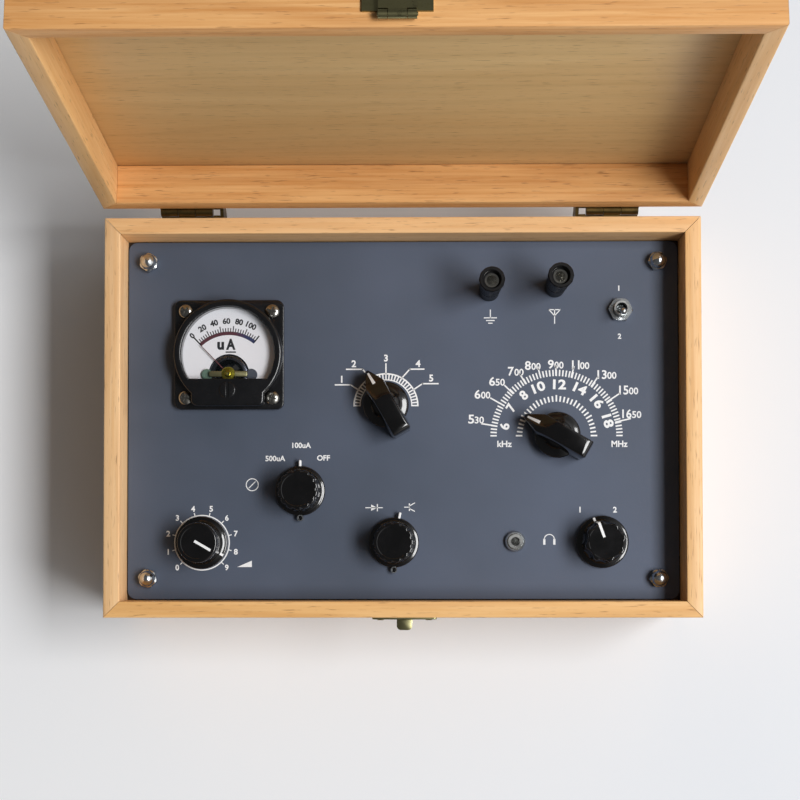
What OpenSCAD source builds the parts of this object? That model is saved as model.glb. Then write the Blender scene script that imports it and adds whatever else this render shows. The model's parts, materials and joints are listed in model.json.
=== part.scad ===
// Crystal radio in a hinged wooden case.
// The origin is at the middle of the flat underside, +Z is up, the hinges are at +Y.

/* [Case] */
// Outside width of the case
case_w = 240; // [232:1:300]
// Outside depth of the case
case_d = 161; // [157:1:200]
// Height of the case up to its rim
case_h = 70; // [64:1:110]
// Thickness of the wooden walls of case and lid
wall_t = 6.5; // [5:0.1:8]
// Thickness of the bottom board
bottom_t = 4; // [3:0.1:6]
// Side of the square corner posts that carry the panel
post_side = 18; // [14:0.5:22]

/* [Lid] */
// Depth of the hollow inside the lid
lid_inner_h = 16; // [15:0.5:40]
// Thickness of the board on top of the lid
lid_board_t = 4; // [3:0.1:6]
// Gap between the two rims when the lid is shut
lid_gap = 0.2; // [0.1:0.1:1]
// Angle at which the hinge stops hold the open lid
lid_open = 98; // [92:1:105]

/* [Hinges] */
// Middle of the left hinge leaf along the rear wall
hinge_left_x = -84.5; // [-95:0.5:-60]
// Middle of the right hinge leaf along the rear wall
hinge_right_x = 82.2; // [60:0.1:95]
// Width of a hinge leaf
leaf_w = 25.2; // [22:0.1:30]
// Height of a hinge leaf
leaf_h = 13; // [10:0.5:15]
// Thickness of the hinge plate
leaf_t = 0.9; // [0.6:0.1:1.2]
// Length of the rolled hinge barrel
barrel_w = 21; // [18:0.1:21]
// Radius of the rolled hinge barrel
barrel_r = 2; // [1.8:0.05:2.3]
// Radius of the hinge pin
hinge_pin_r = 0.9; // [0.6:0.05:1.2]
// Distance of the hinge axis behind the rear wall
hinge_back = 2.5; // [2.4:0.1:2.7]
// Thickness of the bent stop ear
ear_t = 1.4; // [1:0.1:2]
// How far the stop ear reaches behind the hinge axis
ear_reach = 6; // [4:0.5:8]

/* [Latch] */
// Middle of the latch along the front
latch_x = 0.8; // [-10:0.1:10]
// Width of the catch plate on the case
catch_w = 26; // [24:0.5:34]
// Height of the catch plate
catch_h = 14; // [13:0.5:18]
// Thickness of the latch plates
latch_t = 0.8; // [0.5:0.1:1]
// Drop from the rim to the top of the catch plate
catch_drop = 2; // [1:0.5:2.5]
// Width of the hook on the catch plate
hook_w = 6.2; // [4:0.1:7]
// How far the hook stands out of the front wall
hook_reach = 5.1; // [4.6:0.1:5.4]
// Thickness of the hook
hook_t = 1.2; // [0.9:0.1:1.4]
// Drop from the rim to the top of the hook
hook_drop = 3.4; // [3:0.1:3.8]
// How far the lip of the hook turns down
hook_lip = 1.4; // [0.8:0.1:1.6]
// Width of the hasp plate on the lid
hasp_plate_w = 22; // [21:0.5:28]
// Height of the hasp plate above its barrel axis
hasp_plate_h = 11; // [10:0.5:12]
// Height of the hasp axis above the rim of the shut lid
hasp_axis_up = 3; // [2.5:0.1:3.5]
// Distance of the hasp axis in front of the wall
hasp_axis_out = 2.4; // [2.3:0.1:2.6]
// Radius of the hasp barrel
hasp_barrel_r = 1.5; // [1.3:0.05:1.6]
// Radius of the hasp pin
hasp_pin_r = 0.6; // [0.4:0.05:0.8]
// Width of the swinging hasp
hasp_w = 12; // [11:0.5:13]
// Length of the swinging hasp from its axis
hasp_len = 15; // [13:0.5:15]

/* [Panel] */
// Depth of the panel's face below the rim
panel_recess = 17; // [15:0.5:24]
// Thickness of the panel
panel_t = 2; // [1.5:0.1:3]
// Gap around the panel
panel_gap = 0.5; // [0.4:0.1:1.2]
// Corner radius of the panel
panel_corner_r = 3.5; // [2:0.5:6]
// Radius of the four panel studs
stud_r = 2; // [1.5:0.1:2.5]
// Width across the flats of the cap nuts
cap_nut_af = 7; // [6:0.1:8]
// Height of a cap nut
cap_nut_h = 7; // [6:0.5:9]

/* [Meter] */
// Meter centre, from the left side of the case
meter_in = 48.8; // [45:0.1:55]
// Meter centre, front to rear
meter_y = 26.7; // [22:0.1:30]
// Side of the square meter flange
meter_side = 45; // [44:0.5:46]
// Thickness of the meter flange
meter_flange_t = 3; // [2:0.5:4]
// Height of the meter front above the panel
meter_h = 9; // [8.5:0.5:12]
// Radius of the round meter turret
turret_r = 21; // [20.5:0.1:22]
// Radius of the meter window
window_r = 19.3; // [18.8:0.1:19.6]
// Thickness of the meter window
window_t = 1.5; // [1:0.1:2]
// Distance from the meter centre down to the straight lower edge of the window
window_flat = 10.4; // [10:0.1:12]
// Radius of the meter barrel behind the panel
meter_barrel_r = 19; // [18.4:0.1:19.4]
// Depth of the meter barrel behind the panel's face
meter_depth = 24; // [22:0.5:30]
// Distance from the meter centre down to the pointer axis
pivot_down = 8.2; // [7.8:0.1:9]
// Length of the pointer from its axis
pointer_len = 16.5; // [12:0.5:17.5]
// Angle of the pointer at zero, to the left of straight up
pointer_zero = 44; // [30:1:50]
// Spacing of the four meter screws
meter_screw_pitch = 35.6; // [35:0.1:36.2]
// Radius of the meter screws
meter_screw_r = 1.5; // [1.2:0.1:1.6]
// Distance from the meter centre down to the zero adjuster
adjuster_down = 15; // [14.5:0.1:16.5]
// Radius of the zero adjuster
adjuster_r = 3.4; // [2.5:0.1:3.6]

/* [Controls] */
// Tuning knob, from the right side of the case
tuning_in = 56.9; // [52:0.1:62]
// Tuning knob, front to rear
tuning_y = -6.6; // [-10:0.1:0]
// Clock angle of the tuning knob as it is stored
tuning_rest = -60; // [-90:1:90]
// Band knob, left to right
band_x = -6.9; // [-12:0.1:0]
// Band knob, front to rear
band_y = 5.9; // [2:0.1:10]
// Clock angle of the band knob as it is stored
band_rest = -30; // [-60:30:60]
// Meter range knob, from the left side of the case
range_in = 78; // [74:0.1:80]
// Meter range knob, front to rear
range_y = -29.2; // [-32:0.1:-26]
// Clock angle of the meter range knob as it is stored
range_rest = 0; // [-30:30:30]
// Detector knob, left to right
detector_x = -3.6; // [-8:0.1:0]
// Detector knob, front to rear
detector_y = -50.4; // [-52:0.1:-48]
// Clock angle of the detector knob as it is stored
detector_rest = 12; // [-18:30:12]
// Gain knob, from the left side of the case
gain_in = 37.5; // [36:0.1:42]
// Gain knob, front to rear
gain_y = -50.4; // [-52:0.1:-48]
// Clock angle of the gain knob as it is stored
gain_rest = 120; // [-135:1:135]
// Phones knob, from the right side of the case
phones_in = 38.5; // [36:0.1:42]
// Phones knob, front to rear
phones_y = -50.2; // [-52:0.1:-48]
// Clock angle of the phones knob as it is stored
phones_rest = -20; // [-20:40:20]
// Height of the round knobs above the panel
knob_h = 16; // [14:0.5:18]
// Gap between a knob and the panel
knob_gap = 0.8; // [0.4:0.1:1.5]
// Skirt radius of the round knobs
skirt_r = 10.2; // [9.5:0.1:11]
// Grip radius of the round knobs
grip_r = 8.6; // [8.4:0.1:9]
// Height of the pointer knobs above the panel
bar_knob_h = 17; // [15:0.5:19]
// Base radius of the pointer knobs
bar_base_r = 9.4; // [9:0.1:11]
// Reach of a pointer knob's nose from its axis
bar_nose = 15.5; // [14:0.5:19]
// Reach of a pointer knob's tail from its axis
bar_tail = 14; // [12:0.5:15]
// Width of a pointer knob's bar at its foot
bar_w = 10.4; // [9:0.1:12]
// Width of a pointer knob's bar at its top
bar_top_w = 7.8; // [6:0.1:9]
// Radius of the control shafts
shaft_r = 3; // [2:0.1:3.2]
// Radius of the threaded bushings of the controls
bushing_r = 3.75; // [3.6:0.05:4.2]
// Height of the threaded bushings above the panel
bushing_up = 4.6; // [4:0.1:5]
// Width across the flats of the control nuts
control_nut_af = 10; // [9.5:0.5:11]

/* [Posts and sockets] */
// Ground post, from the right side of the case
ground_in = 84.4; // [80:0.1:88]
// Ground post, front to rear
ground_y = 53; // [50:0.1:56]
// Antenna post, from the right side of the case
antenna_in = 57.3; // [52:0.1:62]
// Antenna post, front to rear
antenna_y = 54.5; // [50:0.1:56]
// Radius of the cap of a binding post
post_cap_r = 4.8; // [4.5:0.1:6]
// Height of a binding post above the panel
post_h = 31; // [27:0.5:31]
// Height of the collar under a binding post's cap
collar_h = 10; // [7:0.5:12]
// Height of the wire gap between collar and cap when the cap is screwed down
wire_gap = 0.3; // [0.2:0.1:1]
// Radius of the threaded stud of a binding post
post_stud_r = 2.8; // [2.6:0.1:3]
// Radius of the plug socket in a binding post
plug_socket_r = 2.02; // [1.5:0.01:2.1]
// Depth of the plug socket in a binding post
plug_socket_depth = 15; // [12:0.5:18]
// Headphone jack, from the right side of the case
jack_in = 74; // [70:0.1:78]
// Headphone jack, front to rear
jack_y = -50; // [-52:0.1:-46]
// Radius of the headphone jack's hole
jack_hole_r = 1.8; // [1.3:0.05:1.8]
// Depth of the headphone jack's hole
jack_hole_depth = 15; // [12:0.5:17]
// Radius of the headphone jack's bushing
jack_bushing_r = 3; // [2.6:0.1:3.2]
// Radius of the headphone jack's round nut
jack_nut_r = 4.1; // [3.8:0.1:5]
// Toggle switch, from the right side of the case
toggle_in = 30.6; // [28:0.1:36]
// Toggle switch, front to rear
toggle_y = 45.1; // [42:0.1:48]
// Radius of the toggle's bushing
toggle_bushing_r = 3; // [2.8:0.1:3.2]
// Width across the flats of the toggle's nut
toggle_nut_af = 8; // [7.5:0.1:9]
// Tilt of the toggle lever to either side of upright
toggle_tilt = 11; // [8:1:12]
// Height of the toggle lever above the panel
toggle_h = 13; // [11:0.5:16]

/* [Inside] */
// Radius of the tuning capacitor's moving plates
plate_r = 14; // [10:0.5:15]
// Number of moving plates
plate_n = 6; // [4:1:7]
// Thickness of a capacitor plate
plate_t = 0.6; // [0.4:0.1:0.8]
// Distance from one moving plate to the next
plate_pitch = 2.6; // [2.4:0.1:2.6]
// Side of the square end plates of the tuning capacitor
frame_side = 38; // [38:0.5:44]
// Radius of the wafer of the band switch
wafer_r = 14; // [12:0.5:16]
// Depth of the selector switches below the panel
switch_depth = 12; // [10:0.5:16]
// Radius of the selector switches
switch_r = 8.5; // [8:0.1:9.5]
// Radius of the ferrite rod
rod_r = 5; // [4:0.1:6]
// Length of the ferrite rod
rod_len = 120; // [90:1:140]
// Length of the winding on the rod
winding_len = 48; // [30:1:80]
// Thickness of the winding on the rod
winding_t = 2; // [1:0.1:3]
// Radius of the connecting wires
wire_r = 0.6; // [0.4:0.1:0.9]

/* [Hidden] */
$fn = 64;

// Clearances
run_fit = 0.05;
slip_fit = 0.1;
body_gap = 0.3;
// Overlap that keeps a cutter from leaving a skin
cut = 0.5;

// Case and panel
inner_w = case_w - 2 * wall_t;
inner_d = case_d - 2 * wall_t;
panel_z = case_h - panel_recess;
panel_under = panel_z - panel_t;
post_x = inner_w / 2 - post_side / 2;
post_y = inner_d / 2 - post_side / 2;
stud_up = 4.5;
stud_deep = 20;
cap_nut_hex_h = 3.2;

// Places on the panel, kept to the side of the case that they are near
meter_x = meter_in - case_w / 2;
tuning_x = case_w / 2 - tuning_in;
range_x = range_in - case_w / 2;
gain_x = gain_in - case_w / 2;
phones_x = case_w / 2 - phones_in;
ground_x = case_w / 2 - ground_in;
antenna_x = case_w / 2 - antenna_in;
jack_x = case_w / 2 - jack_in;
toggle_x = case_w / 2 - toggle_in;

// Lid, drawn shut and then swung open about the hinge axis
hinge_y = case_d / 2 + hinge_back;
hinge_z = case_h;
lid_rim = case_h + lid_gap;
lid_frame_top = lid_rim + lid_inner_h;
knuckle_n = 3;
knuckle_w = barrel_w / knuckle_n;
knuckle_gap = 0.1;
// The flat of the open leaf as the ear meets it, measured from the hinge axis
lean = lid_open - 90;
leaf_face = (hinge_back - leaf_t) * cos(lean);

// Small wood screws of hinges and latch
screw_head_r = 1.6;
screw_head_t = 0.5;
screw_r = 0.9;
screw_len = 5.5;
leaf_screw_x = 7;
leaf_screw_z = 8.2;
catch_screw_x = 9.8;
hasp_screw_x = 8.3;
hasp_screw_z = 8;

// Latch
front_y = -case_d / 2;
hasp_axis_y = front_y - hasp_axis_out;
hasp_axis_z = lid_rim + hasp_axis_up;
hook_top = case_h - hook_drop;
hasp_knuckle_w = hasp_w / 2;
// Window in the hasp, as near and far distances from its axis
hook_near = hasp_axis_z - hook_top;
hook_far = norm([hook_reach - hasp_axis_out, hook_near + hook_t + hook_lip]);
hasp_window_near = hook_near - 0.4;
hasp_window_far = hook_far + 0.5;
hasp_window_w = hook_w + 1.2;

// Meter, heights measured from the panel's face
meter_top = panel_z + meter_h;
flange_top = panel_z + meter_flange_t;
meter_wall = 1.4;
meter_inner_r = meter_barrel_r - meter_wall;
meter_floor_t = 2;
meter_floor_top = panel_z - meter_depth + meter_floor_t;
window_seat_z = meter_top - window_t;
window_ledge = 0.7;
dial_z = flange_top;
dial_t = 0.6;
dial_r = window_r - window_ledge - 0.2;
bar_half_w = 15;
bar_low = 21.5;
pivot_y = meter_y - pivot_down;
ring_r = 8;
ring_inner_r = 5.7;
ring_top = dial_z + dial_t + 0.4;
ring_low = ring_top - 13;
core_r = 4;
coil_r = 4.9;
coil_t = 0.9;
needle_z = ring_top + 0.6;
needle_t = 0.35;
bridge_z = ring_top + 1.3;
bridge_t = 1;
movement_top = bridge_z + bridge_t;
pivot_pin_r = 0.4;
adjuster_shaft_r = 1.2;
adjuster_sink = 0.8;

// Knobs
knob_low = panel_z + knob_gap;
knob_cavity_r = 7;
knob_cavity_top = panel_z + bushing_up + 0.5;
shaft_top = panel_z + knob_h - 3;
nub_w = 1.8;
nub_out = 2.4;
nub_h = 3;
flute_n = 14;
flute_r = 0.9;
scallop_n = 9;
scallop_cut_r = 5;
nut_t = 2.2;

// Shafts and switches below the panel
disc_r = 6.2;
disc_t = 1.4;
chamber_gap = 0.3;
switch_top_t = 2;
lug_n = 6;
lug_w = 1.2;
lug_len = 4;
lug_t = 0.5;

// Tuning capacitor
cap_plate_t = 1.6;
stack_h = plate_pitch * (plate_n + 1);
cap_low = panel_under - cap_plate_t - stack_h - cap_plate_t;
pillar_r = 1.8;
pillar_at = frame_side / 2 - 3;
stator_rod_r = 1.2;
stator_rod_x = 13.5;
stator_rod_y = 12;
stator_hole_r = 5;
bush_r = 2.6;

// Posts
post_stud_top = panel_z + post_h - 3.5;
post_mouth_r = 3.5;
post_mouth_depth = 3;
post_stud_low = panel_under - 9;
collar_r = post_cap_r - 0.6;
cap_low_z = panel_z + collar_h + wire_gap;
post_nut_af = 8;

// Jack and toggle
jack_up = 3.2;
jack_body_r = 4.2;
jack_len = jack_hole_depth + 3;
toggle_up = 6;
toggle_bore_r = toggle_bushing_r - 0.7;
toggle_pivot_z = panel_z + 1;
toggle_ball_r = toggle_bore_r - run_fit;
toggle_body_w = 8;
toggle_body_d = 13;
toggle_body_h = 9.5;

// Inside parts
rod_x = 0;
rod_y = 56;
rod_z = bottom_t + 11;
coil_x = -20;
coil_foot_w = 6;
transformer_x = case_w / 2 - 32;
transformer_y = -24;
board_x = -8;
board_y = -20;
board_w = 46;
board_d = 28;
board_t = 1.6;
board_up = 5;

// Swings children, drawn with the lid shut, to the open position
module with_open_lid() {
    translate([0, hinge_y, hinge_z])
        rotate([-lid_open, 0, 0])
            translate([0, -hinge_y, -hinge_z])
                children();
}

// Turns a control about its shaft by a clock angle, clockwise from the rear
module at_clock(x, y, angle) {
    translate([x, y, 0])
        rotate([0, 0, -angle])
            children();
}

// Wooden wall with mitred ends, its outer face on the X axis and its inside towards +Y
module mitred_wall(length, height) {
    linear_extrude(height)
        polygon([
            [-length / 2, 0],
            [length / 2, 0],
            [length / 2 - wall_t, wall_t],
            [-length / 2 + wall_t, wall_t]
        ]);
}

// The four places of a frame: 0 front, 1 right, 2 rear, 3 left
module frame_wall(side, height) {
    length = side % 2 == 0 ? case_w : case_d;
    away = side % 2 == 0 ? case_d / 2 : case_w / 2;
    rotate([0, 0, 90 * side])
        translate([0, -away, 0])
            mitred_wall(length, height);
}

module rounded_plate_2d(w, d, r) {
    square([w - 2 * r, d], center = true);
    square([w, d - 2 * r], center = true);
    for (sx = [-1, 1], sy = [-1, 1])
        translate([sx * (w / 2 - r), sy * (d / 2 - r)])
            circle(r);
}

module hex_prism(af, h) {
    cylinder(r = af / 2 / cos(30), h = h, $fn = 6);
}

module hex_nut(af, hole_r, h) {
    difference() {
        intersection() {
            hex_prism(af, h);
            translate([0, 0, -0.6])
                cylinder(r1 = af / 2 / cos(30) + 0.8, r2 = af / 2 - 0.15, h = h + 0.6);
        }
        translate([0, 0, -cut])
            cylinder(r = hole_r, h = h + 2 * cut);
    }
}

// Hole of radius r through whatever lies between two heights
module drill(x, y, r, low, high) {
    translate([x, y, low - cut])
        cylinder(r = r, h = high - low + 2 * cut);
}

module wood_case_wall(side) {
    color("#e0ac6e")
        translate([0, 0, bottom_t])
            frame_wall(side, case_h - bottom_t);
}

module bottom_board() {
    color("#d8a468")
        translate([-case_w / 2, -case_d / 2, 0])
            cube([case_w, case_d, bottom_t]);
}

module front_wall() {
    wood_case_wall(0);
}

module right_wall() {
    wood_case_wall(1);
}

module rear_wall() {
    wood_case_wall(2);
}

module left_wall() {
    wood_case_wall(3);
}

module corner_posts() {
    color("#d0a268")
        for (sx = [-1, 1], sy = [-1, 1])
            difference() {
                translate([sx * post_x - post_side / 2, sy * post_y - post_side / 2, bottom_t])
                    cube([post_side, post_side, panel_under - bottom_t]);
                drill(sx * post_x, sy * post_y, stud_r + run_fit, panel_under - stud_deep, panel_under);
            }
}

module panel() {
    color("#565a66")
        difference() {
            translate([0, 0, panel_under])
                linear_extrude(panel_t)
                    rounded_plate_2d(inner_w - 2 * panel_gap, inner_d - 2 * panel_gap, panel_corner_r);
            for (sx = [-1, 1], sy = [-1, 1])
                drill(sx * post_x, sy * post_y, stud_r + slip_fit, panel_under, panel_z);
            drill(meter_x, meter_y, meter_barrel_r + slip_fit, panel_under, panel_z);
            for (p = meter_screw_places())
                drill(p.x, p.y, meter_screw_r + slip_fit, panel_under, panel_z);
            for (p = control_places())
                drill(p.x, p.y, bushing_r + slip_fit, panel_under, panel_z);
            for (p = post_places())
                drill(p.x, p.y, post_stud_r + slip_fit, panel_under, panel_z);
            drill(jack_x, jack_y, jack_bushing_r + slip_fit, panel_under, panel_z);
            drill(toggle_x, toggle_y, toggle_bushing_r + slip_fit, panel_under, panel_z);
        }
}

function meter_screw_places() = [
    for (sx = [-1, 1], sy = [-1, 1])
        [meter_x + sx * meter_screw_pitch / 2, meter_y + sy * meter_screw_pitch / 2]
];

function control_places() = [
    [tuning_x, tuning_y], [band_x, band_y], [range_x, range_y],
    [detector_x, detector_y], [gain_x, gain_y], [phones_x, phones_y]
];

function post_places() = [[ground_x, ground_y], [antenna_x, antenna_y]];

module cap_nut() {
    dome_r = cap_nut_af / 2 - 0.35;
    difference() {
        union() {
            intersection() {
                hex_prism(cap_nut_af, cap_nut_hex_h);
                translate([0, 0, -0.4])
                    cylinder(r1 = cap_nut_af / 2 + 1.6, r2 = cap_nut_af / 2, h = cap_nut_hex_h + 0.4);
            }
            translate([0, 0, cap_nut_hex_h])
                cylinder(r = dome_r, h = cap_nut_h - cap_nut_hex_h - dome_r + 0.6);
            translate([0, 0, cap_nut_h - dome_r])
                intersection() {
                    sphere(dome_r);
                    cylinder(r = dome_r + cut, h = dome_r + cut);
                }
        }
        translate([0, 0, -cut])
            cylinder(r = stud_r + run_fit, h = stud_up + 0.2 + cut);
    }
}

module panel_fasteners() {
    color("#c9c4b8")
        for (sx = [-1, 1], sy = [-1, 1])
            translate([sx * post_x, sy * post_y, panel_z]) {
                cap_nut();
                translate([0, 0, -panel_t - stud_deep])
                    cylinder(r = stud_r, h = stud_deep + panel_t + stud_up);
            }
}

// One hinge leaf, drawn for the case: its plate hangs from the axis down the rear wall
module hinge_leaf_plate(x, outer_knuckles) {
    plate_top = -0.2;
    notch = barrel_r + 0.3;
    for_case = !outer_knuckles;
    ear_side = x < 0 ? 1 : -1;
    translate([x, 0, 0])
        difference() {
            union() {
                translate([-leaf_w / 2, -hinge_back, -leaf_h])
                    cube([leaf_w, leaf_t, leaf_h + plate_top]);
                for (i = [0:knuckle_n - 1])
                    if ((i % 2 == 0) == outer_knuckles)
                        translate([knuckle_x(ear_side, i), 0, 0])
                            rotate([0, 90, 0])
                                cylinder(r = barrel_r, h = knuckle_w - 2 * knuckle_gap);
            }
            for (i = [0:knuckle_n - 1])
                if ((i % 2 == 0) != outer_knuckles)
                    translate([knuckle_x(ear_side, i) - 2 * knuckle_gap, -hinge_back - cut, -notch])
                        cube([knuckle_w + 2 * knuckle_gap, 2 * notch, 2 * notch]);
            translate([-leaf_w, 0, 0])
                rotate([0, 90, 0])
                    cylinder(r = hinge_pin_r + run_fit, h = 2 * leaf_w);
            for (sx = [-1, 1])
                translate([sx * leaf_screw_x, -hinge_back - cut, -leaf_screw_z])
                    rotate([-90, 0, 0])
                        cylinder(r = screw_r + slip_fit, h = leaf_t + 2 * cut);
            if (for_case)
                translate([ear_side * (leaf_w / 2 - ear_t / 2) - ear_t / 2 - 0.1, -hinge_back - cut, -1])
                    cube([ear_t + 0.2, 2 * hinge_back, 2]);
        }
}

function knuckle_x(ear_side, i) =
    (ear_side > 0 ? -leaf_w / 2 : leaf_w / 2 - barrel_w) + i * knuckle_w + knuckle_gap;

// Bent ear beside the barrel: the open lid's leaf comes to rest on its sloping top
module stop_ear(x) {
    ear_side = x < 0 ? 1 : -1;
    gap = 0.15;
    near = 2;
    low_y = -hinge_back;
    translate([x + ear_side * (leaf_w / 2 - ear_t / 2) - ear_t / 2, 0, 0])
        rotate([90, 0, 90])
            linear_extrude(ear_t)
                polygon([
                    [low_y, -leaf_h + 1],
                    [low_y, -1],
                    [near, leaf_face - gap - near * tan(lean)],
                    [ear_reach, leaf_face - gap - ear_reach * tan(lean)],
                    [ear_reach, -3],
                    [0, -leaf_h + 1]
                ]);
}

module case_hinge_leaves() {
    color("#6b5636")
        translate([0, hinge_y, hinge_z])
            for (x = [hinge_left_x, hinge_right_x])
                union() {
                    hinge_leaf_plate(x, false);
                    stop_ear(x);
                }
}

module lid_hinge_leaves() {
    color("#6b5636")
        with_open_lid()
            translate([0, hinge_y, hinge_z])
                for (x = [hinge_left_x, hinge_right_x])
                    mirror([0, 0, 1])
                        hinge_leaf_plate(x, true);
}

module hinge_pins() {
    color("#8a744c")
        for (x = [hinge_left_x, hinge_right_x]) {
            ear_side = x < 0 ? 1 : -1;
            translate([x + knuckle_x(ear_side, 0), hinge_y, hinge_z])
                rotate([0, 90, 0])
                    cylinder(r = hinge_pin_r, h = barrel_w - 2 * knuckle_gap);
        }
}

// Round-headed wood screw with a slot, along +Y from the face it sits on
module wood_screw() {
    rotate([-90, 0, 0]) {
        cylinder(r = screw_r, h = screw_len);
        difference() {
            translate([0, 0, -screw_head_t])
                cylinder(r1 = screw_head_r - 0.3, r2 = screw_head_r, h = screw_head_t);
            translate([-screw_head_r, -0.2, -screw_head_t - cut])
                cube([2 * screw_head_r, 0.4, cut + 0.25]);
        }
    }
}

module case_screws() {
    color("#9a7f4a") {
        for (x = [hinge_left_x, hinge_right_x], sx = [-1, 1])
            translate([x + sx * leaf_screw_x, case_d / 2 + leaf_t, hinge_z - leaf_screw_z])
                mirror([0, 1, 0])
                    wood_screw();
        for (sx = [-1, 1])
            translate([latch_x + sx * catch_screw_x, front_y - latch_t, case_h - catch_drop - catch_h / 2])
                wood_screw();
    }
}

module lid_screws() {
    color("#9a7f4a")
        with_open_lid() {
            for (x = [hinge_left_x, hinge_right_x], sx = [-1, 1])
                translate([x + sx * leaf_screw_x, case_d / 2 + leaf_t, hinge_z + leaf_screw_z])
                    mirror([0, 1, 0])
                        wood_screw();
            for (sx = [-1, 1])
                translate([latch_x + sx * hasp_screw_x, front_y - latch_t, hasp_axis_z + hasp_screw_z])
                    wood_screw();
        }
}

module catch_plate() {
    plate_low = case_h - catch_drop - catch_h;
    color("#a98a4c")
        translate([latch_x, front_y, 0])
            difference() {
                union() {
                    translate([-catch_w / 2, -latch_t, plate_low])
                        cube([catch_w, latch_t, catch_h]);
                    translate([-hook_w / 2, -hook_reach, hook_top - hook_t])
                        cube([hook_w, hook_reach, hook_t]);
                    translate([-hook_w / 2, -hook_reach, hook_top - hook_t - hook_lip])
                        cube([hook_w, latch_t, hook_lip + hook_t]);
                }
                for (sx = [-1, 1])
                    translate([sx * catch_screw_x, cut, plate_low + catch_h / 2])
                        rotate([90, 0, 0])
                            cylinder(r = screw_r + slip_fit, h = latch_t + 2 * cut);
            }
}

module hasp_knuckle(x, w) {
    translate([x, 0, 0])
        rotate([0, 90, 0])
            cylinder(r = hasp_barrel_r, h = w);
}

module hasp_plate() {
    outer_w = (hasp_w - hasp_knuckle_w) / 2;
    color("#a98a4c")
        with_open_lid()
            translate([latch_x, hasp_axis_y, hasp_axis_z])
                difference() {
                    union() {
                        translate([-hasp_plate_w / 2, hasp_axis_out - latch_t, hasp_barrel_r + 0.3])
                            cube([hasp_plate_w, latch_t, hasp_plate_h - hasp_barrel_r - 0.3]);
                        for (sx = [-1, 1]) {
                            hasp_knuckle(sx > 0 ? hasp_w / 2 - outer_w + knuckle_gap : -hasp_w / 2, outer_w - knuckle_gap);
                            translate([sx > 0 ? hasp_w / 2 - outer_w + knuckle_gap : -hasp_w / 2, 0.9, 0])
                                cube([outer_w - knuckle_gap, hasp_axis_out - 0.9, hasp_barrel_r + 1]);
                        }
                    }
                    translate([-hasp_w, 0, 0])
                        rotate([0, 90, 0])
                            cylinder(r = hasp_pin_r + slip_fit / 2, h = 2 * hasp_w);
                    for (sx = [-1, 1])
                        translate([sx * hasp_screw_x, hasp_axis_out - latch_t - cut, hasp_screw_z])
                            rotate([-90, 0, 0])
                                cylinder(r = screw_r + slip_fit, h = latch_t + 2 * cut);
                }
}

module hasp_pin() {
    color("#8a744c")
        with_open_lid()
            translate([latch_x - hasp_w / 2 - 0.3, hasp_axis_y, hasp_axis_z])
                rotate([0, 90, 0])
                    cylinder(r = hasp_pin_r, h = hasp_w + 0.6);
}

// The hasp is stored folded back over its plate, pointing to the top of the lid
module hasp_lever() {
    color("#b09050")
        with_open_lid()
            translate([latch_x, hasp_axis_y, hasp_axis_z])
                difference() {
                    union() {
                        hasp_knuckle(-hasp_knuckle_w / 2 + knuckle_gap, hasp_knuckle_w - 2 * knuckle_gap);
                        translate([-hasp_knuckle_w / 2 + knuckle_gap, -latch_t / 2, 0])
                            cube([hasp_knuckle_w - 2 * knuckle_gap, latch_t, hasp_barrel_r + 1]);
                        translate([-hasp_w / 2, -latch_t / 2, hasp_barrel_r + 0.3])
                            cube([hasp_w, latch_t, hasp_len - hasp_w / 2 - hasp_barrel_r - 0.3]);
                        translate([0, latch_t / 2, hasp_len - hasp_w / 2])
                            rotate([90, 0, 0])
                                intersection() {
                                    cylinder(r = hasp_w / 2, h = latch_t);
                                    translate([-hasp_w / 2, 0, 0])
                                        cube([hasp_w, hasp_w, latch_t]);
                                }
                        translate([-hasp_w / 4, -latch_t / 2, hasp_len - 1.6])
                            cube([hasp_w / 2, 1.4 + latch_t / 2, 1]);
                    }
                    translate([-hasp_w, 0, 0])
                        rotate([0, 90, 0])
                            cylinder(r = hasp_pin_r + run_fit, h = 2 * hasp_w);
                    translate([-hasp_window_w / 2, -latch_t, hasp_window_near])
                        cube([hasp_window_w, 2 * latch_t, hasp_window_far - hasp_window_near]);
                }
}

module lid_wall(side) {
    color("#e0ac6e")
        with_open_lid()
            translate([0, 0, lid_rim])
                frame_wall(side, lid_inner_h);
}

module lid_front_wall() {
    lid_wall(0);
}

module lid_right_wall() {
    lid_wall(1);
}

module lid_rear_wall() {
    lid_wall(2);
}

module lid_left_wall() {
    lid_wall(3);
}

module lid_board() {
    color("#d8a468")
        with_open_lid()
            translate([-case_w / 2, -case_d / 2, lid_frame_top])
                cube([case_w, case_d, lid_board_t]);
}

// Outline of the meter window: a circle with a straight lower edge
module window_2d(r) {
    intersection() {
        circle(r);
        translate([-r - 1, -window_flat])
            square([2 * r + 2, 2 * r + 2]);
    }
}

module meter_case() {
    terminal_x = 9;
    color("#202124")
        translate([meter_x, meter_y, 0])
            difference() {
                union() {
                    translate([0, 0, panel_z - meter_depth])
                        cylinder(r = meter_barrel_r, h = meter_depth);
                    for (sx = [-1, 1])
                        translate([sx * terminal_x, 0, panel_z - meter_depth - 8])
                            cylinder(r = meter_screw_r, h = 9);
                    for (sx = [-1, 1])
                        translate([sx * terminal_x, 0, panel_z - meter_depth - nut_t])
                            hex_prism(5.5, nut_t + 0.1);
                }
                translate([0, 0, meter_floor_top])
                    cylinder(r = meter_inner_r, h = meter_depth);
            }
}

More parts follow.
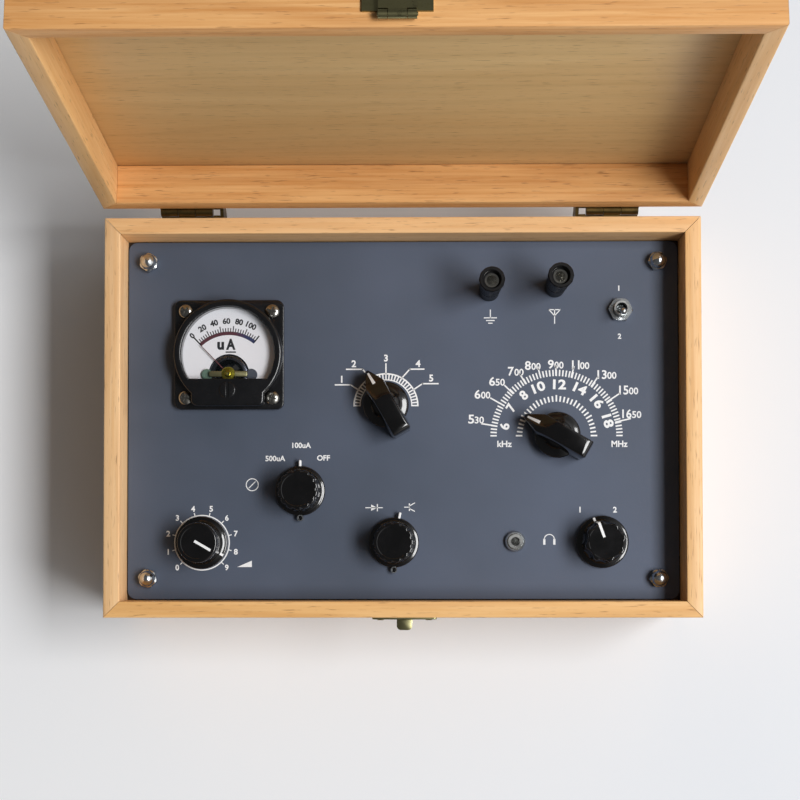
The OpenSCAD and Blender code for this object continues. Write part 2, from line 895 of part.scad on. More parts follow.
module meter_bezel() {
    color("#17181a")
        translate([meter_x, meter_y, 0])
            difference() {
                union() {
                    translate([0, 0, panel_z])
                        linear_extrude(meter_flange_t)
                            rounded_plate_2d(meter_side, meter_side, 3);
                    translate([0, 0, panel_z])
                        cylinder(r = turret_r, h = meter_h);
                    translate([-bar_half_w, -bar_low, panel_z])
                        cube([2 * bar_half_w, bar_low - window_flat, meter_h]);
                }
                translate([0, 0, panel_z - cut])
                    linear_extrude(dial_z - panel_z + cut)
                        window_2d(meter_inner_r);
                translate([0, 0, dial_z])
                    linear_extrude(meter_h)
                        window_2d(window_r - window_ledge);
                translate([0, 0, window_seat_z])
                    linear_extrude(meter_h)
                        window_2d(window_r);
                for (sx = [-1, 1], sy = [-1, 1])
                    drill(sx * meter_screw_pitch / 2, sy * meter_screw_pitch / 2,
                        meter_screw_r + slip_fit, panel_z, flange_top);
                for (sx = [-1, 1], sy = [-1, 1])
                    drill(sx * meter_screw_pitch / 2, sy * meter_screw_pitch / 2, 3.3, flange_top + cut, meter_top);
                translate([0, -pivot_down, panel_z - cut])
                    cylinder(r = ring_r + 0.4, h = movement_top + 0.3 - panel_z + cut);
                translate([0, -adjuster_down, 0])
                    drill(0, 0, adjuster_shaft_r + run_fit, panel_z, meter_top);
                translate([0, -adjuster_down, meter_top - adjuster_sink])
                    cylinder(r = adjuster_r + slip_fit, h = 2);
            }
}

module meter_window() {
    color("#dfe8ee", 0.35)
        translate([meter_x, meter_y, window_seat_z])
            linear_extrude(window_t)
                intersection() {
                    circle(window_r - slip_fit);
                    translate([-window_r, -window_flat + slip_fit])
                        square(2 * window_r);
                }
}

module meter_dial() {
    color("#f4f4f0")
        translate([meter_x, meter_y, dial_z])
            linear_extrude(dial_t)
                difference() {
                    intersection() {
                        circle(dial_r);
                        translate([-window_r, -window_flat + slip_fit])
                            square(2 * window_r);
                    }
                    translate([0, -pivot_down])
                        circle(ring_r + 0.4);
                }
}

// Ring magnet on its pedestal, the fixed core inside it and the bridge that holds the upper jewel
module meter_movement() {
    base_t = 1.6;
    color("#3a3c40")
        translate([meter_x, pivot_y, 0]) {
            difference() {
                union() {
                    translate([0, 0, ring_low])
                        cylinder(r = ring_r, h = ring_top - ring_low);
                    translate([0, 0, meter_floor_top])
                        cylinder(r = 6, h = ring_low - meter_floor_top);
                }
                translate([0, 0, ring_low + base_t])
                    cylinder(r = ring_inner_r, h = ring_top);
                drill(0, 0, pivot_pin_r + run_fit, ring_low, ring_low + base_t);
            }
            difference() {
                union() {
                    translate([0, 0, ring_low + base_t + 1.8])
                        cylinder(r = core_r, h = ring_top - ring_low - base_t - 3.9);
                    translate([-0.8, -ring_inner_r - 0.2, ring_low + base_t + 3])
                        cube([1.6, ring_inner_r - core_r + 0.8, 4]);
                }
                drill(0, 0, pivot_pin_r + 0.5, ring_low, ring_top);
            }
            difference() {
                union() {
                    for (sx = [-1, 1])
                        translate([sx * (ring_inner_r + ring_r) / 2, 0, ring_top])
                            cylinder(r = 1, h = bridge_z - ring_top + 0.1);
                    translate([-(ring_inner_r + ring_r) / 2 - 1, -1.2, bridge_z])
                        cube([ring_inner_r + ring_r + 2, 2.4, bridge_t]);
                    translate([0, 0, bridge_z])
                        cylinder(r = 2.6, h = bridge_t);
                }
                drill(0, 0, pivot_pin_r + run_fit, bridge_z, bridge_z + bridge_t);
            }
        }
}

// Pointer with its moving coil and pivots, stored at zero
module meter_pointer() {
    base_t = 1.6;
    coil_low = ring_low + base_t + 0.5;
    coil_top = ring_top - 0.6;
    color("#b03028")
        at_clock(meter_x, pivot_y, -pointer_zero) {
            difference() {
                translate([-coil_r, -1.2, coil_low])
                    cube([2 * coil_r, 2.4, coil_top - coil_low]);
                translate([-coil_r + coil_t, -2, coil_low + coil_t])
                    cube([2 * (coil_r - coil_t), 4, coil_top - coil_low - 2 * coil_t]);
            }
            translate([0, 0, ring_low + 0.3])
                cylinder(r = pivot_pin_r, h = coil_low - ring_low);
            translate([0, 0, coil_top - 0.1])
                cylinder(r = pivot_pin_r, h = bridge_z + bridge_t - coil_top);
            translate([0, 0, coil_top - 0.1])
                cylinder(r = 1, h = needle_z + needle_t + 0.1 - coil_top);
            translate([-0.25, -3.4, needle_z])
                cube([0.5, pointer_len + 3.4, needle_t]);
        }
}

module zero_adjuster() {
    color("#26262a")
        translate([meter_x, meter_y - adjuster_down, 0])
            difference() {
                union() {
                    translate([0, 0, meter_top - adjuster_sink + run_fit])
                        cylinder(r = adjuster_r, h = 1.45);
                    translate([0, 0, movement_top + 0.3])
                        cylinder(r = adjuster_shaft_r, h = meter_top - movement_top - 0.8);
                }
                translate([-adjuster_r - 1, -0.5, meter_top])
                    cube([2 * adjuster_r + 2, 1, 2]);
            }
}

module meter_fasteners() {
    color("#cfcdc6")
        for (p = meter_screw_places()) {
            translate([p.x, p.y, flange_top])
                difference() {
                    union() {
                        cylinder(r = 2.9, h = 1);
                        translate([0, 0, 1])
                            cylinder(r1 = 2.9, r2 = 1.9, h = 0.9);
                        translate([0, 0, -meter_flange_t - panel_t - 5])
                            cylinder(r = meter_screw_r, h = meter_flange_t + panel_t + 5.1);
                    }
                    for (a = [45, 135])
                        rotate([0, 0, a])
                            translate([-1.8, -0.4, 0.9])
                                cube([3.6, 0.8, 2]);
                }
            translate([p.x, p.y, panel_under - nut_t])
                hex_nut(5.5, meter_screw_r + run_fit, nut_t);
        }
}

// Shaft with the disc that carries the moving contact
module control_shaft(low, disc_z) {
    translate([0, 0, low])
        cylinder(r = shaft_r, h = shaft_top - low);
    translate([0, 0, disc_z])
        cylinder(r = disc_r, h = disc_t);
}

switch_disc_z = panel_under - switch_top_t - chamber_gap - disc_t;
switch_low = panel_under - switch_depth;

// Threaded bushing with a closed round housing under the panel and solder lugs around it
module control_housing(r, lugs) {
    difference() {
        union() {
            translate([0, 0, switch_low])
                cylinder(r = r, h = switch_depth);
            translate([0, 0, panel_under - 1])
                cylinder(r = bushing_r, h = panel_t + bushing_up + 1);
            for (i = [0:lugs - 1])
                rotate([0, 0, i * 360 / lug_n])
                    translate([r - 1.5, -lug_w / 2, switch_low - lug_len])
                        cube([lug_t, lug_w, lug_len + 1]);
        }
        translate([0, 0, switch_low + 2])
            cylinder(r = shaft_r + run_fit, h = shaft_top);
        translate([0, 0, switch_disc_z - 3])
            cylinder(r = disc_r + chamber_gap, h = disc_t + chamber_gap + 3);
    }
}

// Skirted round knob, hollow underneath to clear the nut, pointing to +Y
module knob_body(grip_top_r) {
    difference() {
        union() {
            translate([0, 0, knob_low])
                cylinder(r = skirt_r, h = 2.4);
            translate([0, 0, knob_low + 2.4])
                cylinder(r1 = skirt_r, r2 = grip_r + 0.3, h = 1.6);
            translate([0, 0, knob_low])
                cylinder(r1 = grip_r, r2 = grip_top_r, h = knob_h - knob_gap);
        }
        translate([0, 0, knob_low - cut])
            cylinder(r = knob_cavity_r, h = knob_cavity_top - knob_low + cut);
        translate([0, 0, knob_low])
            cylinder(r = shaft_r + 0.02, h = shaft_top - knob_low + 0.3);
    }
}

module flute_cutters(n, r, at) {
    for (i = [0:n - 1])
        rotate([0, 0, (i + 0.5) * 360 / n])
            translate([at, 0, knob_low + 4.2])
                cylinder(r = r, h = knob_h);
}

// Knob with fine flutes and two nubs on its skirt, one as pointer
module fluted_knob() {
    difference() {
        union() {
            knob_body(grip_r - 0.4);
            for (a = [0, 180])
                rotate([0, 0, a])
                    translate([-nub_w / 2, skirt_r - 0.6, knob_low])
                        cube([nub_w, nub_out + 0.6, nub_h]);
        }
        flute_cutters(flute_n, flute_r, grip_r + 0.35);
    }
}

module scalloped_knob() {
    difference() {
        knob_body(grip_r - 0.2);
        flute_cutters(scallop_n, scallop_cut_r, grip_r + scallop_cut_r - 0.7);
    }
}

// Pointer knob: a round shouldered base with a bar whose nose slopes to the front
module bar_knob() {
    top = panel_z + bar_knob_h;
    hub_z = knob_low + 5;
    nose_top = panel_z + 8;
    difference() {
        union() {
            translate([0, 0, knob_low])
                cylinder(r = bar_base_r, h = hub_z - knob_low);
            translate([0, 0, hub_z])
                cylinder(r1 = bar_base_r, r2 = bar_base_r - 1.6, h = 2);
            translate([0, 0, hub_z + 2])
                cylinder(r1 = bar_base_r - 1.6, r2 = bar_w / 2, h = 4);
            intersection() {
                translate([0, 0, knob_low])
                    linear_extrude(bar_knob_h)
                        polygon([
                            [-0.7, bar_nose], [0.7, bar_nose],
                            [bar_w / 2 - 0.8, bar_nose / 2], [bar_w / 2, 1], [bar_w / 2, -3],
                            [bar_w / 2 - 0.9, 1.2 - bar_tail], [bar_w / 2 - 1.9, -bar_tail],
                            [1.9 - bar_w / 2, -bar_tail], [0.9 - bar_w / 2, 1.2 - bar_tail],
                            [-bar_w / 2, -3], [-bar_w / 2, 1], [0.8 - bar_w / 2, bar_nose / 2]
                        ]);
                translate([0, bar_nose, 0])
                    rotate([90, 0, 0])
                        linear_extrude(bar_nose + bar_tail)
                            polygon([
                                [-bar_w / 2, knob_low], [bar_w / 2, knob_low],
                                [bar_top_w / 2, top], [-bar_top_w / 2, top]
                            ]);
                translate([-bar_w, 0, 0])
                    rotate([90, 0, 90])
                        linear_extrude(2 * bar_w)
                            polygon([
                                [-bar_tail, knob_low], [bar_nose, knob_low],
                                [bar_nose, nose_top], [2.5, top],
                                [0.8 - bar_tail, top], [0.3 - bar_tail, top - 0.4], [-bar_tail, top - 2]
                            ]);
            }
        }
        translate([0, 0, knob_low - cut])
            cylinder(r = knob_cavity_r, h = knob_cavity_top - knob_low + cut);
        translate([0, 0, knob_low])
            cylinder(r = shaft_r + 0.02, h = shaft_top - knob_low + 0.3);
    }
}

module tuning_knob() {
    color("#141416")
        at_clock(tuning_x, tuning_y, tuning_rest)
            bar_knob();
}

module band_knob() {
    color("#141416")
        at_clock(band_x, band_y, band_rest)
            bar_knob();
}

module range_knob() {
    color("#141416")
        at_clock(range_x, range_y, range_rest)
            fluted_knob();
}

module detector_knob() {
    color("#141416")
        at_clock(detector_x, detector_y, detector_rest)
            fluted_knob();
}

module phones_knob() {
    color("#141416")
        at_clock(phones_x, phones_y, phones_rest)
            scalloped_knob();
}

module gain_knob() {
    color("#141416")
        at_clock(gain_x, gain_y, gain_rest)
            knob_body(grip_r - 0.5);
}

module range_shaft() {
    color("#b8b4a8")
        translate([range_x, range_y, 0])
            control_shaft(switch_low + 2.2, switch_disc_z);
}

module detector_shaft() {
    color("#b8b4a8")
        translate([detector_x, detector_y, 0])
            control_shaft(switch_low + 2.2, switch_disc_z);
}

module phones_shaft() {
    color("#b8b4a8")
        translate([phones_x, phones_y, 0])
            control_shaft(switch_low + 2.2, switch_disc_z);
}

module gain_shaft() {
    color("#b8b4a8")
        translate([gain_x, gain_y, 0])
            control_shaft(switch_low + 2.2, switch_disc_z);
}

module selector_switches() {
    color("#3c3a36")
        for (p = [[range_x, range_y], [detector_x, detector_y], [phones_x, phones_y]])
            translate([p.x, p.y, 0])
                control_housing(switch_r, lug_n);
}

module gain_pot() {
    color("#8f8f90")
        translate([gain_x, gain_y, 0])
            control_housing(switch_r + 0.5, 3);
}

module band_shaft() {
    color("#b8b4a8")
        translate([band_x, band_y, 0])
            control_shaft(switch_low + 2.2, switch_disc_z);
}

// Band switch: housing as on the other controls with a wider contact wafer under it
module band_switch() {
    spacer_at = wafer_r - 3;
    wafer_t = 1.6;
    wafer_z = switch_low - 5;
    color("#8d6b3c")
        translate([band_x, band_y, 0])
            union() {
                control_housing(switch_r, 0);
                translate([0, 0, panel_under - 1.2])
                    difference() {
                        cylinder(r = wafer_r, h = 1.2);
                        translate([0, 0, -cut])
                            cylinder(r = disc_r, h = 2 + 2 * cut);
                    }
                for (sx = [-1, 1])
                    translate([sx * spacer_at, 0, wafer_z])
                        cylinder(r = 1.4, h = panel_under - wafer_z);
                translate([0, 0, wafer_z])
                    cylinder(r = wafer_r, h = wafer_t);
                translate([0, 0, wafer_z + wafer_t - 0.1])
                    cylinder(r = shaft_r, h = switch_low - wafer_z - wafer_t + 0.2);
                for (i = [0:2 * lug_n - 1])
                    rotate([0, 0, (i + 0.5) * 180 / lug_n])
                        translate([wafer_r - 2, -lug_w / 2, wafer_z - lug_len])
                            cube([lug_t, lug_w, lug_len + 1]);
            }
}

// Half-round plates that turn in between the fixed ones as the nose turns to the left
module tuning_rotor() {
    color("#c8c8c4")
        at_clock(tuning_x, tuning_y, tuning_rest) {
            translate([0, 0, cap_low + 0.2])
                cylinder(r = shaft_r, h = shaft_top - cap_low - 0.2);
            for (i = [1:plate_n])
                translate([0, 0, cap_low + cap_plate_t + i * plate_pitch - plate_t / 2])
                    linear_extrude(plate_t)
                        intersection() {
                            circle(plate_r);
                            translate([0, -plate_r])
                                square([plate_r, 2 * plate_r]);
                        }
        }
}

module tuning_frame() {
    color("#a9a9a4")
        translate([tuning_x, tuning_y, 0])
            difference() {
                union() {
                    for (z = [cap_low, panel_under - cap_plate_t])
                        translate([-frame_side / 2, -frame_side / 2, z])
                            cube([frame_side, frame_side, cap_plate_t]);
                    for (sx = [-1, 1], sy = [-1, 1])
                        translate([sx * pillar_at, sy * pillar_at, cap_low])
                            cylinder(r = pillar_r, h = panel_under - cap_low);
                    translate([0, 0, panel_under - cap_plate_t])
                        cylinder(r = bushing_r, h = cap_plate_t + panel_t + bushing_up);
                }
                drill(0, 0, shaft_r + run_fit, cap_low, panel_z + bushing_up);
                for (sx = [-1, 1], z = [cap_low, panel_under - cap_plate_t])
                    drill(sx * stator_rod_x, stator_rod_y, bush_r, z, z + cap_plate_t);
            }
}

// Fixed plates on two rods, which stand in four insulating bushes
module tuning_stator() {
    low = cap_low - 1;
    high = panel_under - 0.3;
    color("#b9b9b2")
        translate([tuning_x, tuning_y, 0]) {
            union() {
                for (sx = [-1, 1])
                    translate([sx * stator_rod_x, stator_rod_y, low])
                        cylinder(r = stator_rod_r, h = high - low);
                for (i = [0:plate_n])
                    translate([0, 0, cap_low + cap_plate_t + (i + 0.5) * plate_pitch - plate_t / 2])
                        linear_extrude(plate_t)
                            difference() {
                                translate([-frame_side / 2 + 3.5, 0])
                                    square([frame_side - 7, stator_rod_y + 2.4]);
                                circle(stator_hole_r);
                            }
            }
            for (sx = [-1, 1], z = [cap_low, panel_under - cap_plate_t])
                translate([sx * stator_rod_x, stator_rod_y, z])
                    difference() {
                        cylinder(r = bush_r, h = cap_plate_t);
                        translate([0, 0, -cut])
                            cylinder(r = stator_rod_r, h = cap_plate_t + 2 * cut);
                    }
        }
}

module control_nuts() {
    color("#c9c4b8") {
        for (p = control_places())
            translate([p.x, p.y, panel_z])
                hex_nut(control_nut_af, bushing_r + run_fit, nut_t);
        translate([toggle_x, toggle_y, panel_z])
            rotate([0, 0, 12])
                hex_nut(toggle_nut_af, toggle_bushing_r + run_fit, nut_t);
        translate([jack_x, jack_y, panel_z])
            difference() {
                union() {
                    cylinder(r = jack_nut_r, h = nut_t - 0.5);
                    translate([0, 0, nut_t - 0.5])
                        cylinder(r1 = jack_nut_r, r2 = jack_nut_r - 0.5, h = 0.5);
                }
                drill(0, 0, jack_bushing_r + run_fit, 0, nut_t);
            }
    }
}

module toggle_switch() {
    color("#8f3b2c")
        translate([toggle_x, toggle_y, 0])
            difference() {
                union() {
                    translate([-toggle_body_w / 2, -toggle_body_d / 2, panel_under - toggle_body_h])
                        cube([toggle_body_w, toggle_body_d, toggle_body_h]);
                    translate([0, 0, panel_under - 1])
                        cylinder(r = toggle_bushing_r, h = panel_t + toggle_up + 1);
                    for (i = [-1:1])
                        translate([-0.4, i * 4.7 - 0.9, panel_under - toggle_body_h - 4])
                            cube([0.8, 1.8, 5]);
                }
                translate([0, 0, panel_under - 6])
                    cylinder(r = toggle_bore_r, h = 40);
            }
}

// Toggle lever, stored tilted to the front
module toggle_lever() {
    color("#d8d6d0")
        translate([toggle_x, toggle_y, toggle_pivot_z])
            rotate([toggle_tilt, 0, 0]) {
                sphere(toggle_ball_r);
                cylinder(r1 = 0.9, r2 = 1.35, h = toggle_h - 2.2);
                translate([0, 0, toggle_h - 2.35])
                    sphere(1.35);
                translate([0, 0, -5])
                    cylinder(r = 0.8, h = 5);
            }
}

module post_studs() {
    color("#d2cdbf")
        for (p = post_places())
            translate([p.x, p.y, 0]) {
                difference() {
                    translate([0, 0, post_stud_low])
                        cylinder(r = post_stud_r, h = post_stud_top - post_stud_low);
                    drill(0, 0, plug_socket_r, post_stud_top - plug_socket_depth + cut, post_stud_top);
                }
                translate([0, 0, panel_under - nut_t - 0.8])
                    hex_nut(post_nut_af, post_stud_r + run_fit, nut_t);
            }
}

// Insulating collars, each with a flange under the panel
module post_collars() {
    color("#1b1b1e")
        for (p = post_places())
            translate([p.x, p.y, 0]) {
                difference() {
                    translate([0, 0, panel_z])
                        cylinder(r = collar_r, h = collar_h);
                    drill(0, 0, post_stud_r + run_fit, panel_z, panel_z + collar_h);
                }
                difference() {
                    translate([0, 0, panel_under - 0.8])
                        cylinder(r = collar_r, h = 0.8);
                    drill(0, 0, post_stud_r + run_fit, panel_under - 0.8, panel_under);
                }
            }
}

module post_cap(p) {
    top = panel_z + post_h;
    translate([p.x, p.y, 0])
        difference() {
            union() {
                translate([0, 0, cap_low_z])
                    cylinder(r1 = post_cap_r - 0.5, r2 = post_cap_r, h = 1);
                translate([0, 0, cap_low_z + 1])
                    cylinder(r = post_cap_r, h = top - cap_low_z - 2);
                translate([0, 0, top - 1])
                    cylinder(r1 = post_cap_r, r2 = post_cap_r - 0.8, h = 1);
            }
            drill(0, 0, post_stud_r + run_fit, cap_low_z, top);
            translate([0, 0, top - post_mouth_depth])
                cylinder(r = post_mouth_r, h = post_mouth_depth + cut);
        }
}

module ground_cap() {
    color("#161618")
        post_cap([ground_x, ground_y]);
}

module antenna_cap() {
    color("#161618")
        post_cap([antenna_x, antenna_y]);
}

module phone_jack() {
    color("#6f6f70")
        translate([jack_x, jack_y, 0])
            difference() {
                union() {
                    translate([0, 0, panel_under - jack_len])
                        cylinder(r = jack_body_r, h = jack_len);
                    translate([0, 0, panel_under - 1])
                        cylinder(r = jack_bushing_r, h = panel_t + jack_up + 1);
                    for (sx = [-1, 1])
                        translate([sx * 2.4 - 0.25, -0.8, panel_under - jack_len - 4])
                            cube([0.5, 1.6, 5]);
                }
                drill(0, 0, jack_hole_r, panel_z + jack_up - jack_hole_depth + cut, panel_z + jack_up);
            }
}

module ferrite_rod() {
    color("#3b3a3c")
        translate([rod_x - rod_len / 2, rod_y, rod_z])
            rotate([0, 90, 0])
                cylinder(r = rod_r, h = rod_len);
}

// Winding and its two-footed former, pushed over the rod
module tuning_coil() {
    color("#b5713a")
        difference() {
            union() {
                translate([coil_x - winding_len / 2, rod_y, rod_z])
                    rotate([0, 90, 0])
                        cylinder(r = rod_r + winding_t, h = winding_len);
                for (x = [coil_x - winding_len / 2 - coil_foot_w, coil_x + winding_len / 2])
                    translate([x, rod_y - rod_r - winding_t - 1, bottom_t])
                        cube([coil_foot_w, 2 * (rod_r + winding_t + 1), rod_z - bottom_t + rod_r + 2]);
            }
            translate([coil_x - winding_len, rod_y, rod_z])
                rotate([0, 90, 0])
                    cylinder(r = rod_r + run_fit, h = 2 * winding_len);
        }
}

module transformer() {
    core_w = 20;
    core_d = 9;
    core_h = 17;
    color("#9b9ba0")
        translate([transformer_x, transformer_y, bottom_t])
            union() {
                translate([-core_w / 2, -core_d / 2, 0])
                    cube([core_w, core_d, core_h]);
                translate([-core_w / 2 + 3.5, -core_d / 2 - 3, 3])
                    cube([core_w - 7, core_d + 6, core_h - 6]);
                translate([-core_w / 2 - 4, -core_d / 2, 0])
                    cube([core_w + 8, core_d, 0.8]);
            }
}

// Small board on two feet that carries the two detectors
module detector_board() {
    top = bottom_t + board_up + board_t;
    color("#3f7d4a")
        translate([board_x, board_y, 0])
            union() {
                translate([-board_w / 2, -board_d / 2, bottom_t + board_up])
                    cube([board_w, board_d, board_t]);
                for (sx = [-1, 1])
                    translate([sx * (board_w / 2 - 4), 0, bottom_t])
                        cylinder(r = 2.5, h = board_up + 0.1);
                translate([-12, -4, top + 1.2])
                    rotate([0, 90, 0])
                        cylinder(r = 1.3, h = 7);
                translate([-15, -4, top + 1.2])
                    rotate([0, 90, 0])
                        cylinder(r = 0.3, h = 13);
                for (x = [-15, -2])
                    translate([x, -4, top - 0.1])
                        cylinder(r = 0.3, h = 1.6);
                translate([10, 2, top - 0.1])
                    cylinder(r = 2.4, h = 5.1);
            }
}

// A connecting wire: straight from its start to its lane, across, and on to its end
module wire(start, lane, end) {
    corners = [start, [start.x, start.y, lane], [end.x, end.y, lane], end];
    for (i = [0:2]) {
        step = corners[i + 1] - corners[i];
        length = norm(step);
        translate(corners[i])
            rotate([0, acos(step.z / length), atan2(step.y, step.x)])
                cylinder(r = wire_r, h = length, $fn = 24);
    }
    for (i = [1:2])
        translate(corners[i])
            sphere(wire_r * 1.25, $fn = 24);
}

// Tip of solder lug i of a round control
function lug_tip(x, y, r, i, z) = [
    x + (r + lug_t / 2) * cos(i * 360 / lug_n),
    y + (r + lug_t / 2) * sin(i * 360 / lug_n),
    z
];

module hookup_wires() {
    lug_z = switch_low - lug_len;
    ring = switch_r - 1.5;
    wafer_ring = wafer_r - 2;
    wafer_lug_z = switch_low - 5 - lug_len;
    board_top = bottom_t + board_up + board_t;
    coil_top = rod_z + rod_r + winding_t;
    foot_top = rod_z + rod_r + 2;
    foot_x = coil_x + winding_len / 2 + coil_foot_w / 2;
    lane = bottom_t + 23;
    meter_end = panel_z - meter_depth - 8;
    bobbin_top = bottom_t + 14;
    color("#b33a2e") {
        wire([antenna_x, antenna_y, post_stud_low], lane,
            [tuning_x + stator_rod_x, tuning_y + stator_rod_y, cap_low - 1]);
        wire([ground_x, ground_y, post_stud_low], lane - 2, [foot_x, rod_y - 4, foot_top]);
        wire([toggle_x, toggle_y, panel_under - toggle_body_h - 4], lane - 3.5, [foot_x, rod_y + 4, foot_top]);
        wire(lug_tip(phones_x, phones_y, ring, 3, lug_z), lane - 1,
            [transformer_x + 4, transformer_y - 6, bobbin_top]);
        wire([jack_x - 2.4, jack_y, panel_under - jack_len - 4], lane - 3,
            lug_tip(phones_x, phones_y, ring, 4, lug_z));
        wire([board_x + 18, board_y + 4, board_top], lane - 4, [transformer_x - 4, transformer_y + 6, bobbin_top]);
        wire(lug_tip(detector_x, detector_y, ring, 3, lug_z), lane - 1, [board_x - 18, board_y - 10, board_top]);
        wire(lug_tip(range_x, range_y, ring, 0, lug_z), meter_end - 2, [meter_x + 9, meter_y, meter_end]);
        wire(lug_tip(gain_x, gain_y, ring + 0.5, 0, lug_z), lane - 2, [board_x - 20, board_y + 8, board_top]);
        wire(lug_tip(band_x, band_y, wafer_ring, 1.25, wafer_lug_z), lane - 1, [coil_x + 16, rod_y, coil_top]);
        wire(lug_tip(band_x, band_y, wafer_ring, 1.75, wafer_lug_z), lane - 1, [coil_x - 4, rod_y, coil_top]);
        wire(lug_tip(band_x, band_y, wafer_ring, 0.25, wafer_lug_z), lane - 3,
            [tuning_x - frame_side / 2 + 2, tuning_y, cap_low]);
    }
}

bottom_board();
front_wall();
rear_wall();
left_wall();
right_wall();
corner_posts();
panel();
panel_fasteners();
case_hinge_leaves();
hinge_pins();
case_screws();
catch_plate();
lid_board();
lid_front_wall();
lid_rear_wall();
lid_left_wall();
lid_right_wall();
lid_hinge_leaves();
lid_screws();
hasp_plate();
hasp_pin();
hasp_lever();
meter_case();
meter_bezel();
meter_window();
meter_dial();
meter_movement();
meter_pointer();
zero_adjuster();
meter_fasteners();
tuning_knob();
tuning_rotor();
tuning_frame();
tuning_stator();
band_knob();
band_shaft();
band_switch();
range_knob();
range_shaft();
detector_knob();
detector_shaft();
phones_knob();
phones_shaft();
selector_switches();
gain_knob();
gain_shaft();
gain_pot();
control_nuts();
toggle_switch();
toggle_lever();
post_studs();
post_collars();
ground_cap();
antenna_cap();
phone_jack();
ferrite_rod();
tuning_coil();
transformer();
detector_board();
hookup_wires();
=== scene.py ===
"""Crystal radio in a hinged pine case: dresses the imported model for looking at.

Sizes are in millimetres until a piece is made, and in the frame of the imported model: X to the
right, Y to the rear, Z up, the origin under the middle of the case. Clock angles run clockwise
from the rear.
"""
import json
import logging
import math
from dataclasses import dataclass, field
from enum import Enum
from typing import Callable, Sequence

import bmesh
import bpy
from mathutils import Matrix, Vector
from mathutils.geometry import tessellate_polygon

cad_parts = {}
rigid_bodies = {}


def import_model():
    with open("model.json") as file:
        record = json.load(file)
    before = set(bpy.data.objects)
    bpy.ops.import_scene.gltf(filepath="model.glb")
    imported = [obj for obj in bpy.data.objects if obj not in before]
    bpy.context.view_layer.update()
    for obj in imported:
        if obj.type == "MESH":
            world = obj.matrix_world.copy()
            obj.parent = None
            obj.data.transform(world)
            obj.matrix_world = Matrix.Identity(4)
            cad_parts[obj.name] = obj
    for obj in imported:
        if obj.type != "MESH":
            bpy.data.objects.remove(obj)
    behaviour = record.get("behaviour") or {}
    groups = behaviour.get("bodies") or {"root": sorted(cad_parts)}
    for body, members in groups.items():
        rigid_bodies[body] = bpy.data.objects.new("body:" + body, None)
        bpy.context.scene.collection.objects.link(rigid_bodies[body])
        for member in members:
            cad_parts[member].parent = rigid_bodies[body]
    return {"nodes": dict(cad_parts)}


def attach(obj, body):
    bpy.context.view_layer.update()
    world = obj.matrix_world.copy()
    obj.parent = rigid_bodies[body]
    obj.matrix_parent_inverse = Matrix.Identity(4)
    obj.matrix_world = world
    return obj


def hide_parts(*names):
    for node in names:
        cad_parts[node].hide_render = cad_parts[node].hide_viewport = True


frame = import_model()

LOG = logging.getLogger("crystal_radio")
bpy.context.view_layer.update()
MM = 0.001
INK_T, INK_SINK = 0.03, 0.01
PANEL_Z = 53.0
DIAL_Z = 56.6
HINGE = Vector((0.0, 83.0, 70.0))
LID_TURN = -98.0
SHAFT_R, SHAFT_TOP = 3.02, 66.3
KNOB_LOW, CAVITY_R, CAVITY_TOP = 53.8, 7.0, 58.1

Point = tuple[float, float]
Loop = list[Point]
Shape = Callable[[float, float, float], float]
Socket = bpy.types.NodeSocket


class Spot(Enum):
    """Where the controls stand on the panel."""

    TUNING = (63.1, -6.6)
    BAND = (-6.9, 5.9)
    GAIN = (-82.5, -50.4)
    RANGE = (-42.0, -29.2)
    DETECTOR = (-3.6, -50.4)
    PHONES = (81.5, -50.2)
    JACK = (46.0, -50.0)
    TOGGLE = (89.4, 45.1)


# ---------------------------------------------------------------- shapes


@dataclass
class Shell:
    """Corners in millimetres and the faces between them, one or more closed solids."""

    verts: list[Vector] = field(default_factory=list)
    faces: list[tuple[int, ...]] = field(default_factory=list)

    def add(self, *others: "Shell") -> "Shell":
        """Takes in other shells.

        Args:
            others: Shells that become part of this one.

        Returns:
            This shell, so that calls can be chained.
        """
        for other in others:
            base = len(self.verts)
            self.verts.extend(v.copy() for v in other.verts)
            self.faces.extend(tuple(base + i for i in f) for f in other.faces)
        return self

    def moved(self, place: Matrix) -> "Shell":
        """Gives a copy at another place."""
        return Shell([place @ v for v in self.verts], list(self.faces))

    def to_bmesh(self, scale: float = 1.0) -> bmesh.types.BMesh:
        """Builds an editable mesh with merged corners and outward faces.

        Args:
            scale: Factor on every corner.

        Returns:
            The editable mesh, to be freed by the caller.
        """
        mesh = bpy.data.meshes.new("shell")
        mesh.from_pydata([v * scale for v in self.verts], [], self.faces)
        work = bmesh.new()
        work.from_mesh(mesh)
        bpy.data.meshes.remove(mesh)
        bmesh.ops.remove_doubles(work, verts=work.verts, dist=1e-4 * scale)
        bmesh.ops.recalc_face_normals(work, faces=work.faces)
        return work

    def to_mesh(self, name: str, scale: float = 1.0) -> bpy.types.Mesh:
        """Builds a named mesh with merged corners and outward faces.

        Args:
            name: Name of the mesh.
            scale: Factor on every corner.

        Returns:
            The mesh.
        """
        mesh, work = bpy.data.meshes.new(name), self.to_bmesh(scale)
        work.to_mesh(mesh)
        work.free()
        return mesh


def from_bmesh(work: bmesh.types.BMesh) -> Shell:
    """Reads an editable mesh into a shell and frees it.

    Args:
        work: The editable mesh.

    Returns:
        The shell.
    """
    work.verts.index_update()
    faces = [tuple(v.index for v in f.verts) for f in work.faces]
    shell = Shell([v.co.copy() for v in work.verts], faces)
    work.free()
    return shell


def linked(name: str, data: bpy.types.ID) -> bpy.types.Object:
    """Links a new object that shows some data into the scene.

    Args:
        name: Name of the object.
        data: What it shows.

    Returns:
        The object.
    """
    obj = bpy.data.objects.new(name, data)
    bpy.context.scene.collection.objects.link(obj)
    return obj


